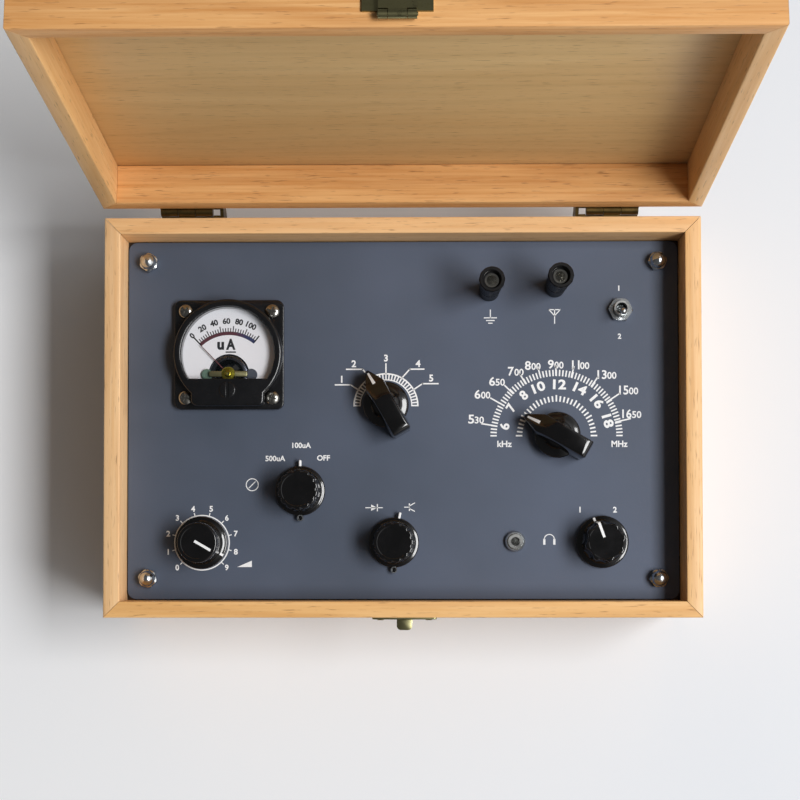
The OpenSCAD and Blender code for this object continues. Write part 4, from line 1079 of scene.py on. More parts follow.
def finishes() -> dict[str, bpy.types.Material]:
    """Builds every finish of the radio, each shared by its pieces.

    Returns:
        The materials by name.
    """
    return {finish.name: finish.material() for finish in (
        Pine("pine_front", 0.31, "#efc185", "#dea661"),
        Pine("pine_rear", 0.83, "#f5cc98", "#e6b277"),
        # pine_left is painted lighter and pine_right darker than the other walls: painted light on
        # the left wall, whose inner face meets the lamp, and painted shade on the right wall, whose
        # inner face lies in shade.
        Pine("pine_left", 1.27, "#f6cf9e", "#e9b982", grain=Grain.DEEP, streaks=0.85),
        Pine("pine_right", 2.11, "#eabf87", "#d8a465", grain=Grain.DEEP, streaks=0.8),
        Pine("pine_bottom", 2.63, "#e3b580", "#c98f57"),
        # The corner posts get a near-black stain as painted shade, so that the gaps at the panel's
        # corners read dark.
        Pine("batten_painted_shade", 3.05, "#3a2a1c", "#2c2016", "#20170f"),
        Pine("pine_lid_long", 0.57, "#e8b478", "#cd8e4e", "#a5642f", tilt=LID_TURN, streaks=0.85),
        Pine("pine_lid_side", 1.71, grain=Grain.DEEP, tilt=LID_TURN),
        Pine("pine_lid_board", 2.29, "#e6c288", "#dab176", "#a57a46", tilt=LID_TURN, figure=0.1,
             streaks=0.25, shine=0.42),
        # The panel's paint is painted lighter towards the right, as a painted sheen of the lamp.
        Paint("panel_paint", "#454d5b", "#565f72"),
        Plastic("knob_plastic", "#0a0a0b", "#131214", 0.13, 0.5, 0.32),
        Plastic("meter_plastic", "#101113", "#18181b", 0.2, 0.35, 0.35),
        Plastic("post_plastic", "#09090b", "#111012", 0.42, 0.0, 0.2),
        Plastic("switch_plastic", "#2b2622", "#3a332d", 0.4),
        Plastic("wafer_board", "#6e3f1d", "#7d4c27", 0.45),
        Plastic("board_green", "#2f6a43", "#3a7650", 0.4),
        Plastic("wire_cover", "#9c2c24", "#a83c30", 0.4),
        Plastic("ferrite", "#3a3836", "#4a4745", 0.6),
        Metal("nickel", "#ccd0d3", "#9b9c9a", 0.2),
        Metal("dull_nickel", "#b7b8b6", "#8b8b88", 0.26),
        Metal("aged_brass", "#5c4a2a", "#2f2717", 0.4, 0.7),
        Metal("brass_plate", "#98936d", "#615c3c", 0.3, 0.6),
        Metal("socket_metal", "#b5b3ac", "#7d7b74", 0.14, 0.3),
        Metal("screw_steel", "#a09e98", "#6f6d67", 0.17, 0.4),
        Metal("bright_brass", "#b9ad3c", "#8d822c", 0.24, 0.4),
        Metal("magnet_steel", "#686b75", "#3d4048", 0.24, 0.5),
        Metal("bridge_brass", "#9c9872", "#6d6a4e", 0.38, 0.4),
        Plastic("core_dark", "#141517", "#1d1d20", 0.5),
        Metal("shaft_steel", "#a9a8a4", "#83817c", 0.3),
        Metal("plate_metal", "#c3c2bc", "#9e9c95", 0.32),
        Metal("winding", "#b06a3a", "#8a4c28", 0.35, 0.3, 0.8),
        Metal("core_steel", "#6d6c6a", "#4d4b49", 0.45),
        Ink("white_ink", "#f0f1f2", "#dfe1e4"),
        Ink("dial_card", "#f4f5fb", "#ebedf4", 0.6),
        Ink("black_ink", "#16181f", "#22242c"),
        Ink("needle_lacquer", "#6a3a3e", "#5b3034", 0.4),
        Ink("foot_green", "#5f7a6c", "#52695e", 0.5),
        Ink("foot_grey", "#474d5a", "#3c424e", 0.5),
        ScaleInk("scale_ink", -71.2),
        Clear("clear_window"),
    )}


# ---------------------------------------------------------------- making pieces


@dataclass
class Bench:
    """Where pieces are finished: it holds the finishes, the node trees and the count."""

    finishes: dict[str, bpy.types.Material] = field(default_factory=finishes)
    ring: Tree = field(default_factory=ring_tree)
    grid: Tree = field(default_factory=grid_tree)
    spiral: Tree = field(default_factory=spiral_tree)
    made: int = 0

    def piece(
        self, name: str, shell: Shell, finish: str, slot: str, *stands_for: str,
        body: str = "case", smooth: float = 32.0,
    ) -> None:
        """Turns a shell into a finished piece of the radio.

        Args:
            name: Name of the piece.
            shell: Its shape in millimetres, at its place.
            finish: Name of its finish.
            slot: The record's material slot that it belongs to; not used.
            stands_for: CAD nodes that it replaces.
            body: The moving body that it rides on.
            smooth: Edges that turn by less than this, in degrees, are shaded smooth.
        """
        mesh = shell.to_mesh(name, MM)
        mesh.materials.append(self.finishes[finish])
        mesh.shade_smooth()
        mesh.set_sharp_from_angle(angle=math.radians(smooth))
        obj = linked(name, mesh)
        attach(obj, body)
        if stands_for:
            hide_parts(*stands_for)
        self.made += 1
        LOG.info("%s: %d faces, on %s", name, len(mesh.polygons), body)

    def dress(self, finish: str, *nodes: str) -> None:
        """Gives CAD nodes that stay as they are a finish.

        Args:
            finish: Name of the finish.
            nodes: Names of the nodes.
        """
        for name in nodes:
            obj = frame["nodes"][name]
            if not obj.material_slots:
                obj.data.materials.append(self.finishes[finish])
            for held in obj.material_slots:
                held.material = self.finishes[finish]
            LOG.info("%s keeps its CAD shape in %s", name, finish)

    def ticks(
        self, place: Matrix, count: int, start: float, sweep: float, inner: float, length: float,
        width: float, height: float = 0.05, every: int = 1000, extra: float = 0.0,
    ) -> Shell:
        """Sets bars round an arc.

        Args:
            place: Where the arc's centre goes.
            count: Number of bars.
            start: Clock angle of the first one.
            sweep: Angle from the first to the last one.
            inner: Radius at which they begin.
            length: Their length.
            width: Their width.
            height: Their thickness.
            every: One bar in this many is longer.
            extra: By how much it is longer.

        Returns:
            The bars at their place.
        """
        return self.ring.grow(
            Shell(), self.finishes["white_ink"], Count=count, Start=start, Sweep=sweep,
            Inner=inner, Length=length, Width=width, Height=height, Every=every, Extra=extra,
        ).moved(place)

    def corners(
        self, master: Shell, finish: str, place: Matrix, span_x: float, span_y: float,
        most_turn: float, seed: int,
    ) -> Shell:
        """Repeats a piece at the four corners of a rectangle.

        Args:
            master: The piece, at the origin.
            finish: Its finish.
            place: Where the rectangle's centre goes.
            span_x: Width of the rectangle.
            span_y: Depth of the rectangle.
            most_turn: Greatest chance turn of a copy, in degrees.
            seed: Seed of the chance turns.

        Returns:
            The copies at their place.
        """
        return self.grid.grow(
            master, self.finishes[finish], Span_X=span_x, Span_Y=span_y, Columns=2, Rows=2,
            Most_Turn=most_turn, Seed=seed,
        ).moved(place)


class Side(Enum):
    """The sides of a box frame, as the turn from the front."""

    FRONT = 0
    RIGHT = 90
    REAR = 180
    LEFT = 270


@dataclass
class BoxFrame:
    """A frame of four boards with mitred corners, which the case and the lid share."""

    width: float = 240.0
    depth: float = 161.0
    wall: float = 6.5
    ease: float = 0.5
    mitre_gap: float = 0.11

    def board(self, side: Side, low: float, high: float) -> Shell:
        """Makes one board of the frame.

        Args:
            side: Which side it stands on.
            low: Height of its lower edge.
            high: Height of its upper edge.

        Returns:
            The board with eased long edges and mitred ends.
        """
        along, out = self.width / 2, self.depth / 2
        if side in (Side.LEFT, Side.RIGHT):
            along, out = out, along
        section, ease = [], self.ease
        for i, (t, z) in enumerate(((0.0, low), (self.wall, low), (self.wall, high), (0.0, high))):
            ct, cz = t + (ease if t == 0.0 else -ease), z + (ease if z == low else -ease)
            section += arc(ease, 180.0 + 90.0 * i, 270.0 + 90.0 * i, 3, ct, cz)
        shell = Shell([Vector((end * (along - t - self.mitre_gap), t - out, z))
                       for end in (-1, 1) for t, z in section])
        count = len(section)
        near, far = range(count), range(count, 2 * count)
        joined(shell, near, far)
        shell.faces += [tuple(near), tuple(far)]
        return shell.moved(turn(side.value))

    def sheet(self, low: float, high: float, ease: float) -> Shell:
        """Makes the board that closes the frame below or above."""
        x, y = self.width / 2, self.depth / 2
        return brick((-x, -y, low), (x, y, high), ease)


@dataclass
class WoodCase(BoxFrame):
    """The open pine case."""

    height: float = 70.0
    bottom: float = 4.0

    def build(self, bench: Bench) -> None:
        """Builds the bottom and the four walls.

        Args:
            bench: Where the pieces are finished.
        """
        bottom = self.sheet(0.0, self.bottom, 0.5)
        bench.piece("case_bottom", bottom, "pine_bottom", "pine_board", "bottom_board")
        for side in Side:
            name = side.name.lower()
            board = self.board(side, self.bottom, self.height)
            bench.piece("case_wall_" + name, board, "pine_" + name, "pine", name + "_wall")
        # The corner posts are dressed near-black as painted shade in the gaps at the panel's
        # corners.
        bench.dress("batten_painted_shade", "corner_posts")


@dataclass
class Lid(BoxFrame):
    """The lid, built shut and then swung open about the hinge axis."""

    rim: float = 70.2
    inner: float = 16.0
    panel: float = 4.0

    def build(self, bench: Bench) -> None:
        """Builds the lid's board and its four walls.

        Args:
            bench: Where the pieces are finished.
        """
        top = self.rim + self.inner
        swing = Matrix.Translation(HINGE) @ turn(LID_TURN, "X") @ Matrix.Translation(-HINGE)
        bench.piece("lid_panel", self.sheet(top, top + self.panel, 0.6).moved(swing),
                    "pine_lid_board", "pine_board", "lid_board", body="lid")
        for side in Side:
            name = side.name.lower()
            finish = "pine_lid_long" if side in (Side.FRONT, Side.REAR) else "pine_lid_side"
            bench.piece("lid_side_" + name, self.board(side, self.rim, top).moved(swing), finish,
                        "pine", f"lid_{name}_wall", body="lid")


def hex_shape(flats: float) -> Shape:
    """Gives the shape of a six-sided bar that a turned profile is cut from.

    Args:
        flats: Width across the flats.

    Returns:
        A shape for turned().
    """
    def shape(angle: float, radius: float, height: float) -> float:
        """Holds a level's radius within the flats."""
        return min(radius, flats / 2 / math.cos(angle % (math.pi / 3) - math.pi / 6))
    return shape


@dataclass
class PanelHardware:
    """The panel with its cap nuts, and the nuts of the controls."""

    post_x: float = 104.5
    post_y: float = 65.0
    control_flats: float = 10.0
    toggle_flats: float = 8.9
    thread_pitch: float = 0.54

    def cap_nut(self) -> Shell:
        """Makes one domed cap nut with the threaded stud that it holds below.

        Returns:
            The nut, its lower face at height 0.
        """
        levels = [(0.0, 0.0), (3.3, 0.0), (3.75, 0.3), (4.05, 0.6), (4.05, 2.5), (3.75, 2.9),
                  (3.2, 3.2), (3.15, 3.4), *arc(3.15, 0.0, 81.0, 9, 0.0, 3.85), (0.0, 7.0)]
        thread = [(0.0, -22.0), (1.6, -22.0)]
        for k in range(40):
            z = -21.6 + k * self.thread_pitch
            thread += [(1.98, z), (1.72, z + self.thread_pitch / 2)]
        stud = turned(thread + [(1.98, -0.02), (0.0, -0.02)], 24)
        return turned(levels, 96, hex_shape(7.0)).add(stud)

    def build(self, bench: Bench) -> None:
        """Builds the cap nuts and dresses the panel.

        Args:
            bench: Where the pieces are finished.
        """
        bench.dress("panel_paint", "panel")
        shell = bench.corners(self.cap_nut(), "nickel", shift(0, 0, PANEL_Z), 2 * self.post_x,
                              2 * self.post_y, 28.0, 7)
        bench.piece("panel_cap_nuts", shell, "nickel", "nickel", "panel_fasteners")

    def control_nuts(self, bench: Bench, knobs: Sequence[Spot]) -> None:
        """Builds the nuts of every control.

        Args:
            bench: Where the pieces are finished.
            knobs: The knobs, whose nuts are alike.
        """
        hexed = turned([(3.8, 0.0), (5.4, 0.0), (5.75, 0.3), (5.75, 1.9), (5.4, 2.2), (3.8, 2.2)],
                       72, hex_shape(self.control_flats))
        toggle = turned([(3.05, 0.0), (4.9, 0.0), (5.2, 0.2), (5.2, 1.9), (4.7, 2.2), (3.3, 2.2),
                         (3.05, 2.0)], 72, hex_shape(self.toggle_flats)).moved(turn(26.0))
        jack = turned([(3.05, 0.0), (3.9, 0.0), (4.1, 0.2), (4.1, 1.7), (3.7, 2.2), (3.3, 2.2),
                       (3.05, 2.0)], 64)
        jack.add(bench.ticks(shift(0, 0, 0.9), 40, 0.0, 351.0, 4.0, 0.16, 0.3, 1.4))
        shell = Shell()
        for nut, spots in ((hexed, knobs), (toggle, [Spot.TOGGLE]), (jack, [Spot.JACK])):
            for spot in spots:
                shell.add(nut.moved(shift(*spot.value, PANEL_Z)))
        bench.piece("control_nut_set", shell, "nickel", "nickel", "control_nuts")


@dataclass
class Knob:
    """A knob that rides on the body of its own name."""

    name: str
    spot: Spot
    rest: float

    def part(
        self, bench: Bench, what: str, shell: Shell, finish: str, slot: str, *nodes: str,
        smooth: float = 32.0,
    ) -> None:
        """Finishes one piece of the knob, turned to where the knob rests."""
        place = at_clock(*self.spot.value, self.rest)
        bench.piece(f"{self.name}_knob_{what}", shell.moved(place), finish, slot, *nodes,
                    body=self.name, smooth=smooth)

    def bore(self) -> list[Point]:
        """Gives the levels of the shaft's hole and the nut's cavity, from the inside out."""
        return [(0.0, SHAFT_TOP), (SHAFT_R, SHAFT_TOP), (SHAFT_R, CAVITY_TOP),
                (CAVITY_R, CAVITY_TOP), (CAVITY_R, KNOB_LOW)]


@dataclass
class RoundKnob(Knob):
    """A skirted round knob on its shaft."""

    grip: float = 8.6
    top: float = 8.2
    skirt: float = 10.2
    cap: float = 69.0
    grip_low: float = 58.0
    flutes: int = 0
    flute_half: float = 0.85
    scallops: int = 0
    scallop_r: float = 5.0
    scallop_deep: float = 1.15
    phase: float = 0.0
    nubs: bool = False
    line: Point | None = None

    def rim_shape(self, angle: float, radius: float, height: float) -> float:
        """Cuts flutes or scallops into the grip.

        Args:
            angle: Where on the rim, in radians.
            radius: The level's radius.
            height: The level's height.

        Returns:
            The radius that is left.
        """
        if height < self.grip_low or radius < 7.2:
            return radius
        fade = min(1.0, (height - self.grip_low) / 0.8)
        if self.flutes:
            pitch = 2 * math.pi / self.flutes
            off = ((angle + pitch / 2 + math.pi / 2) % pitch - pitch / 2) * self.grip
            if abs(off) < self.flute_half:
                return radius - fade * 0.55 * math.sqrt(1.0 - (off / self.flute_half) ** 2)
        if self.scallops:
            pitch = 2 * math.pi / self.scallops
            off = (angle + math.radians(self.phase)) % pitch - pitch / 2
            far = self.grip + self.scallop_r - self.scallop_deep
            inside = self.scallop_r ** 2 - (far * math.sin(off)) ** 2
            if inside > 0.0:
                edge = far * math.cos(off) - math.sqrt(inside)
                return radius - fade * max(0.0, self.grip - edge)
        return radius

    def cone(self, radius: float) -> Point:
        """Gives a level on the skirt's sloping top."""
        return radius, 55.83 + 0.24 * (self.skirt - 0.4 - radius)

    def body_shell(self) -> Shell:
        """Makes the knob: bore, cavity, skirt, grip and top.

        Returns:
            The closed solid.
        """
        low, cap, skirt, grip, top = KNOB_LOW, self.cap, self.skirt, self.grip, self.top
        foot = self.cone(grip + 0.3)[1]
        levels = self.bore() + [
            (9.9, low), (skirt, low + 0.3), (skirt, low + 1.6), (skirt - 0.05, low + 1.8),
            (skirt - 0.2, low + 1.95), self.cone(skirt - 0.4), self.cone(skirt - 0.8),
            (grip + 0.3, foot), (grip + 0.1, foot + 0.14), (grip + 0.02, foot + 0.4),
            (grip, self.grip_low)]
        levels += [(grip + (top - grip) * k / 6, CAVITY_TOP + 10.1 * k / 6) for k in range(7)]
        for a in map(math.radians, (25, 50, 70, 90)):
            levels.append((top - 0.8 * (1 - math.cos(a)), cap - 0.8 * (1 - math.sin(a))))
        levels += [(top - 1.5, cap), (top - 1.7, cap - 0.15), (0.0, cap - 0.2)]
        return turned(levels, 16 * self.flutes if self.flutes else 180, self.rim_shape)

    def mark_line(self) -> Shell:
        """Makes the painted line on the top and the skirt.

        Returns:
            The line, pointing to the rear.
        """
        (start, end), top, cap = self.line, self.top, self.cap
        edge = [(top - 1.5, cap), (top - 0.8, cap), (top - 0.53, cap - 0.05),
                (top - 0.29, cap - 0.19), (top - 0.08, cap - 0.46), (top, cap - 0.8)]
        path = [(start, cap - 0.2), (min(end, top - 1.72), cap - 0.17)]
        line = ribbon(path + [p for p in edge if p[0] <= end], lambda y: 0.52)
        slope = [self.cone(self.grip + 0.35), self.cone(self.skirt - 0.25)]
        return line.add(ribbon(slope, lambda y: 0.48))

    def build(self, bench: Bench) -> None:
        """Builds the knob with its marks.

        Args:
            bench: Where the pieces are finished.
        """
        low, shell = KNOB_LOW, self.body_shell()
        if self.nubs:
            tail = turn(self.rest) @ shift(0, -11.15)
            boss = turned([(0.0, low), (1.1, low), (1.1, 54.9), (0.8, 55.3), (0.0, 55.5)], 32)
            shell.add(boss.moved(tail))
            eyelet = turned([(0.8, low), (1.4, low), (1.4, 55.6), (1.25, 55.9), (1.0, 55.9),
                             (0.8, 55.6)], 32)
            self.part(bench, "eyelet", eyelet.moved(tail), "nickel", "nickel")
        self.part(bench, "body", shell, "knob_plastic", "black_plastic", self.name + "_knob")
        if self.nubs:
            nub = brick((-0.5, 10.0, 53.9), (0.5, 12.55, 56.6), 0.3, 3)
            self.part(bench, "pointer", nub, "white_ink", "dial_white")
        if self.line:
            self.part(bench, "line", self.mark_line(), "white_ink", "dial_white")
        bench.dress("shaft_steel", self.name + "_shaft")


@dataclass
class BarKnob(Knob):
    """A pointer knob: a round shouldered base with a bar whose nose slopes to the front."""

    base: float = 9.4
    nose: float = 15.5
    tail: float = 14.0
    width: float = 10.4
    top_width: float = 7.4
    top: float = 70.0
    ridge: tuple[Point, ...] = (
        (15.5, 60.9), (13.5, 62.8), (10.0, 65.7), (6.0, 68.2), (2.5, 69.6), (-2.0, 70.0),
        (-10.8, 70.0), (-12.6, 69.7), (-13.3, 69.15), (-13.7, 68.3), (-13.95, 66.8),
        (-14.4, 63.0),
    )

    def height_at(self, y: float) -> float:
        """Gives the height of the ridge at a place along the bar.

        Args:
            y: Distance from the shaft, towards the nose.

        Returns:
            The height.
        """
        for (ay, az), (by, bz) in zip(self.ridge, self.ridge[1:]):
            if by <= y <= ay:
                return az + (bz - az) * (y - ay) / (by - ay)
        return self.top

    def bar(self) -> Shell:
        """Makes the bar from its plan, its cross-section and its side view.

        Returns:
            The closed solid.
        """
        w, t, low, top, nose, tail = (
            self.width / 2, self.top_width / 2, KNOB_LOW, self.top, self.nose, self.tail)
        half = [(0.7, nose), (w - 0.8, nose / 2), (w, 1.0), (w, -3.0), (w - 0.9, 1.2 - tail),
                (w - 1.9, -tail)]
        plan = prism([[(-x, y) for x, y in half] + half[::-1]], low, top + 1)
        half = [(w, low - 1), (t, top - 1.0), (t - 0.12, top - 0.55), (t - 0.42, top - 0.24),
                (t - 0.8, top - 0.1), (t - 1.35, top + 0.02)]
        section = half + [(-x, z) for x, z in half[::-1]]
        upright = turn(90.0, "X")
        across = prism([section], -tail - 2, nose + 2).moved(
            upright @ Matrix.Scale(-1, 4, (0, 0, 1)))
        view = [(-tail - 1, low - 0.5), (nose + 1, low - 0.5), (nose + 1, 59.9), *self.ridge,
                (-tail - 1, 58.0)]
        along = prism([view], -self.width, self.width).moved(turn(90.0) @ upright)
        return worked(worked(plan, across, Cut.COMMON), along, Cut.COMMON)

    def hub(self) -> Shell:
        """Makes the round base with its shoulder and the bore for the shaft.

        Returns:
            The closed solid.
        """
        low, step = KNOB_LOW, KNOB_LOW + 5
        edge = [(0.3, low), (0.0, low + 0.3), (0.0, step - 0.5), (0.2, step - 0.15),
                (0.5, step + 0.1), (1.0, step + 0.28), (2.0, step + 0.52), (2.9, step + 0.75),
                (3.4, step + 1.1), (3.8, step + 2.0)]
        levels = self.bore() + [(self.base - back, z) for back, z in edge]
        return turned(levels + [(self.width / 2 - 0.2, step + 6), (0.0, step + 8.5)], 96)

    def build(self, bench: Bench) -> None:
        """Builds the knob with the painted line on its nose.

        Args:
            bench: Where the pieces are finished.
        """
        bar = softened(self.bar(), 0.25, 2, 40.0)
        bar = worked(bar, rod(CAVITY_R, KNOB_LOW - 1, CAVITY_TOP, 64))
        bar = worked(bar, rod(SHAFT_R, KNOB_LOW, SHAFT_TOP, 48))
        self.part(bench, "body", self.hub().add(bar), "knob_plastic", "black_plastic",
                  self.name + "_knob", smooth=28.0)
        line = ribbon([(y, self.height_at(y) - 0.02) for y in (8.9, 10.0, 12.0, 13.5, 14.3)],
                      lambda y: 0.66 - 0.05 * (y - 8.9))
        self.part(bench, "line", line, "white_ink", "dial_white")


@dataclass
class Meter:
    """The panel meter: bezel, dial, movement, pointer and zero adjuster."""

    x: float = -71.2
    y: float = 26.7
    side: float = 45.0
    flange_top: float = 56.0
    top: float = 62.0
    turret: float = 22.2
    opening: float = 19.05
    seat: float = 19.3
    seat_z: float = 60.5
    flat: float = 10.4
    bar_half: float = 15.0
    bar_low: float = 21.5
    bar_round: float = 2.5
    pivot_down: float = 8.2
    screw_span: float = 35.6
    magnet_gap: float = 8.4
    scale: Point = (-43.5, 38.1)
    button: float = 3.2

    def cut_circle(self, radius: float, flat: float) -> Loop:
        """Gives an anticlockwise circle cut off straight below the middle."""
        start = -math.degrees(math.asin(flat / radius))
        return arc(radius, start, 180.0 - start, 72)

    def bezel(self) -> Shell:
        """Makes the square flange and the raised front with its window seat.

        Returns:
            The bezel, with the meter's middle at the origin.
        """
        start = -math.degrees(math.acos(self.bar_half / self.turret))
        turret, r = arc(self.turret, start, 180.0 - start, 72), self.bar_round
        for side, first in ((-1, 180.0), (1, 270.0)):
            turret += arc(r, first, first + 90.0, 6, side * (self.bar_half - r),
                          r - self.bar_low)
        window = hole(self.cut_circle(self.opening, self.flat))
        seat = hole(self.cut_circle(self.seat, self.flat))
        far = self.screw_span / 2
        holes = [hole(circle(1.6, x, y, 24)) for x in (-far, far) for y in (-far, far)]
        plate = slab([rounded(self.side, self.side, 3.0), window, *holes],
                     eased(PANEL_Z + 0.02, self.flange_top, 0.3, 0.35))
        wall = prism([turret, window], self.flange_top - 0.5, self.seat_z)
        front = slab([turret, seat], eased(self.seat_z, self.top, 0.0, 1.1, 5),
                     [(0.0, self.seat_z), (0.0, self.top - 0.25), (0.08, self.top - 0.08),
                      (0.25, self.top)])
        return plate.add(wall, front)

    def screw(self) -> Shell:
        """Makes one cross-slot screw head with its shank.

        Returns:
            The screw, its head on height 0.
        """
        dome = arc(2.9, 0.0, 84.0, 7, 0.0, 0.75, 1.15 / 2.9)
        head = turned([(0.0, 0.0), (2.9, 0.0), (2.9, 0.5), *dome, (0.0, 1.9)], 48)
        slot = brick((-1.75, -0.36, 0.95), (1.75, 0.36, 3.0))
        for angle in (45.0, 135.0):
            head = worked(head, slot.moved(turn(angle)))
        shank = [(0.0, -10.0), (1.2, -10.0), (1.45, -9.6), (1.45, 0.05), (0.0, 0.05)]
        return head.add(turned(shank, 24))

    def dial(self) -> Shell:
        """Makes the dial card with its opening for the magnet.

        Returns:
            The card, with the meter's middle at the origin.
        """
        low = math.degrees(math.asin((self.flat - self.pivot_down - 0.1) / self.magnet_gap))
        opening = arc(self.magnet_gap, 180.0 + low, -low, 32, 0.0, -self.pivot_down)
        loop = self.cut_circle(self.opening - 0.04, self.flat - 0.1) + opening
        return prism([loop], self.flange_top, DIAL_Z)

    def dial_marks(self, bench: Bench) -> None:
        """Prints the scale, its numbers and the unit on the dial.

        Args:
            bench: Where the pieces are finished.
        """
        first, last = self.scale
        place = shift(self.x, self.y - self.pivot_down, DIAL_Z + INK_SINK)
        black = Sheet((self.x, self.y - self.pivot_down), DIAL_Z)
        black.ink.add(bench.ticks(place, 26, first, last - first, 17.5, 1.6, 0.4, 0.04, 5, 0.9))
        for k in range(6):
            angle = first + 13.6 * k
            black.text(str(20 * k), 2.5, *clock(22.0, angle), angle, 0.04)
        black.text("u", 3.3, -3.4, 11.75, 0.0, 0.05, 2.8)
        black.text("A", 4.6, 0.75, 12.4, 0.0, 0.045, 3.9)
        black.line(0.55, (-1.1, 9.2), (2.6, 9.2))
        black.spoke(0.55, 17.0, 20.8, first)
        black.spoke(0.55, 17.0, 19.8, last)
        bench.piece("meter_scale_marks", black.ink, "black_ink", "dial_white")
        arc_sheet = Sheet(black.centre, DIAL_Z)
        arc_sheet.band(16.2, 17.65, first - 0.6, last + 0.6)
        bench.piece("meter_scale_arc", arc_sheet.ink, "scale_ink", "dial_white")

    def movement(self, bench: Bench) -> None:
        """Builds the magnet, the core, the bridge, the springs and the two feet.

        Args:
            bench: Where the pieces are finished.
        """
        ring = turned([(0.5, 44.0), (8.0, 44.0), (8.0, 56.3), (7.7, 56.75), (7.1, 57.0),
                       (6.1, 57.0), (5.7, 56.6), (5.7, 45.6), (0.5, 45.6)], 96)
        core = turned([(0.9, 47.4), (4.0, 47.4), (4.0, 54.6), (3.7, 54.9), (0.9, 54.9)], 64)
        strap = slab([rounded(15.7, 2.4, 0.8)], eased(58.3, 59.3, 0.1, 0.3))
        for x in (-6.9, 6.9):
            strap.add(rod(1.0, 57.0, 58.4, 20).moved(shift(x)))
        hub = turned([(0.5, 58.25), (2.85, 58.25), (2.85, 59.2), (2.6, 59.5), (1.5, 59.65),
                      (1.2, 60.1), (0.9, 60.25), (0.5, 60.25)], 48)
        spring = bench.spiral.grow(
            Shell(), bench.finishes["bright_brass"], Turns=4.0, Inner=0.9, Outer=2.9, Wire=0.09)
        hub.add(spring.moved(shift(0, 0, 58.1)))
        foot = turned([(0.0, 56.6), (2.3, 56.6), (2.3, 57.5), (2.0, 57.8), (0.0, 57.8)], 40)
        place = shift(self.x, self.y - self.pivot_down)
        for name, shell, finish, *nodes in (
            ("magnet", ring, "magnet_steel", "meter_movement"), ("core", core, "core_dark"),
            ("bridge", strap, "bridge_brass"), ("hub", hub, "bright_brass"),
            ("foot_left", foot.moved(shift(-8.9, -0.1)), "foot_green"),
            ("foot_right", foot.moved(shift(9.4, -0.1)), "foot_grey"),
        ):
            bench.piece("meter_" + name, shell.moved(place), finish, "movement_steel", *nodes)

    def pointer(self, bench: Bench) -> None:
        """Builds the moving coil with its pivots and the thin needle.

        Args:
            bench: Where the pieces are finished.
        """
        coil = prism([[(-4.9, 46.1), (4.9, 46.1), (4.9, 56.4), (-4.9, 56.4)],
                      hole([(-4.0, 47.0), (4.0, 47.0), (4.0, 55.5), (-4.0, 55.5)])],
                     -1.2, 1.2).moved(turn(90.0, "X"))
        pivot = [(0.0, 56.3), (1.0, 56.3), (1.0, 58.0), (0.4, 58.0), (0.4, 59.25), (0.0, 59.25)]
        coil.add(rod(0.4, 44.3, 46.3, 20), turned(pivot, 24),
                 brick((-0.35, -3.4, 57.6), (0.35, -1.6, 57.95), 0.08, 1))
        needle = prism([[(-0.12, 16.5), (-0.2, 4.0), (-0.3, -1.7), (0.3, -1.7), (0.2, 4.0),
                         (0.12, 16.5)]], 57.6, 57.95)
        place = at_clock(self.x, self.y - self.pivot_down, -44.0)
        bench.piece("meter_coil", coil.moved(place), "core_dark", "needle_red", "meter_pointer",
                    body="pointer")
        bench.piece("meter_needle", needle.moved(place), "needle_lacquer", "needle_red",
                    body="pointer")

    def adjuster(self) -> Shell:
        """Makes the zero adjuster: a slotted button below the window.

        Returns:
            The button, with its middle at the origin.
        """
        base = turned([(0.0, 61.3), (3.3, 61.3), (3.4, 61.4), (3.4, 62.2), (3.3, 62.3),
                       (0.0, 62.3)], 64)
        edge = 90.0 - math.degrees(math.asin(0.5 / self.button))
        half = slab([arc(self.button, -edge, edge, 24)], eased(62.2, 62.7, 0.0, 0.25))
        return base.add(half, half.moved(turn(180.0)))

    def build(self, bench: Bench) -> None:
        """Builds the whole meter.

        Args:
            bench: Where the pieces are finished.
        """
        middle = shift(self.x, self.y)
        bench.piece("meter_front", self.bezel().moved(middle), "meter_plastic", "meter_plastic",
                    "meter_bezel")
        bench.dress("meter_plastic", "meter_case")
        bench.dress("clear_window", "meter_window")
        heads = bench.corners(self.screw(), "screw_steel", shift(self.x, self.y, self.flange_top),
                              self.screw_span, self.screw_span, 40.0, 3)
        bench.piece("meter_screws", heads, "screw_steel", "nickel", "meter_fasteners")
        bench.piece("meter_dial_card", self.dial().moved(middle), "dial_card", "dial_white",
                    "meter_dial")
        self.dial_marks(bench)
        self.movement(bench)
        self.pointer(bench)
        bench.piece("meter_zero_button", self.adjuster().moved(shift(self.x, self.y - 15.0)),
                    "meter_plastic", "meter_plastic", "zero_adjuster", body="adjuster")


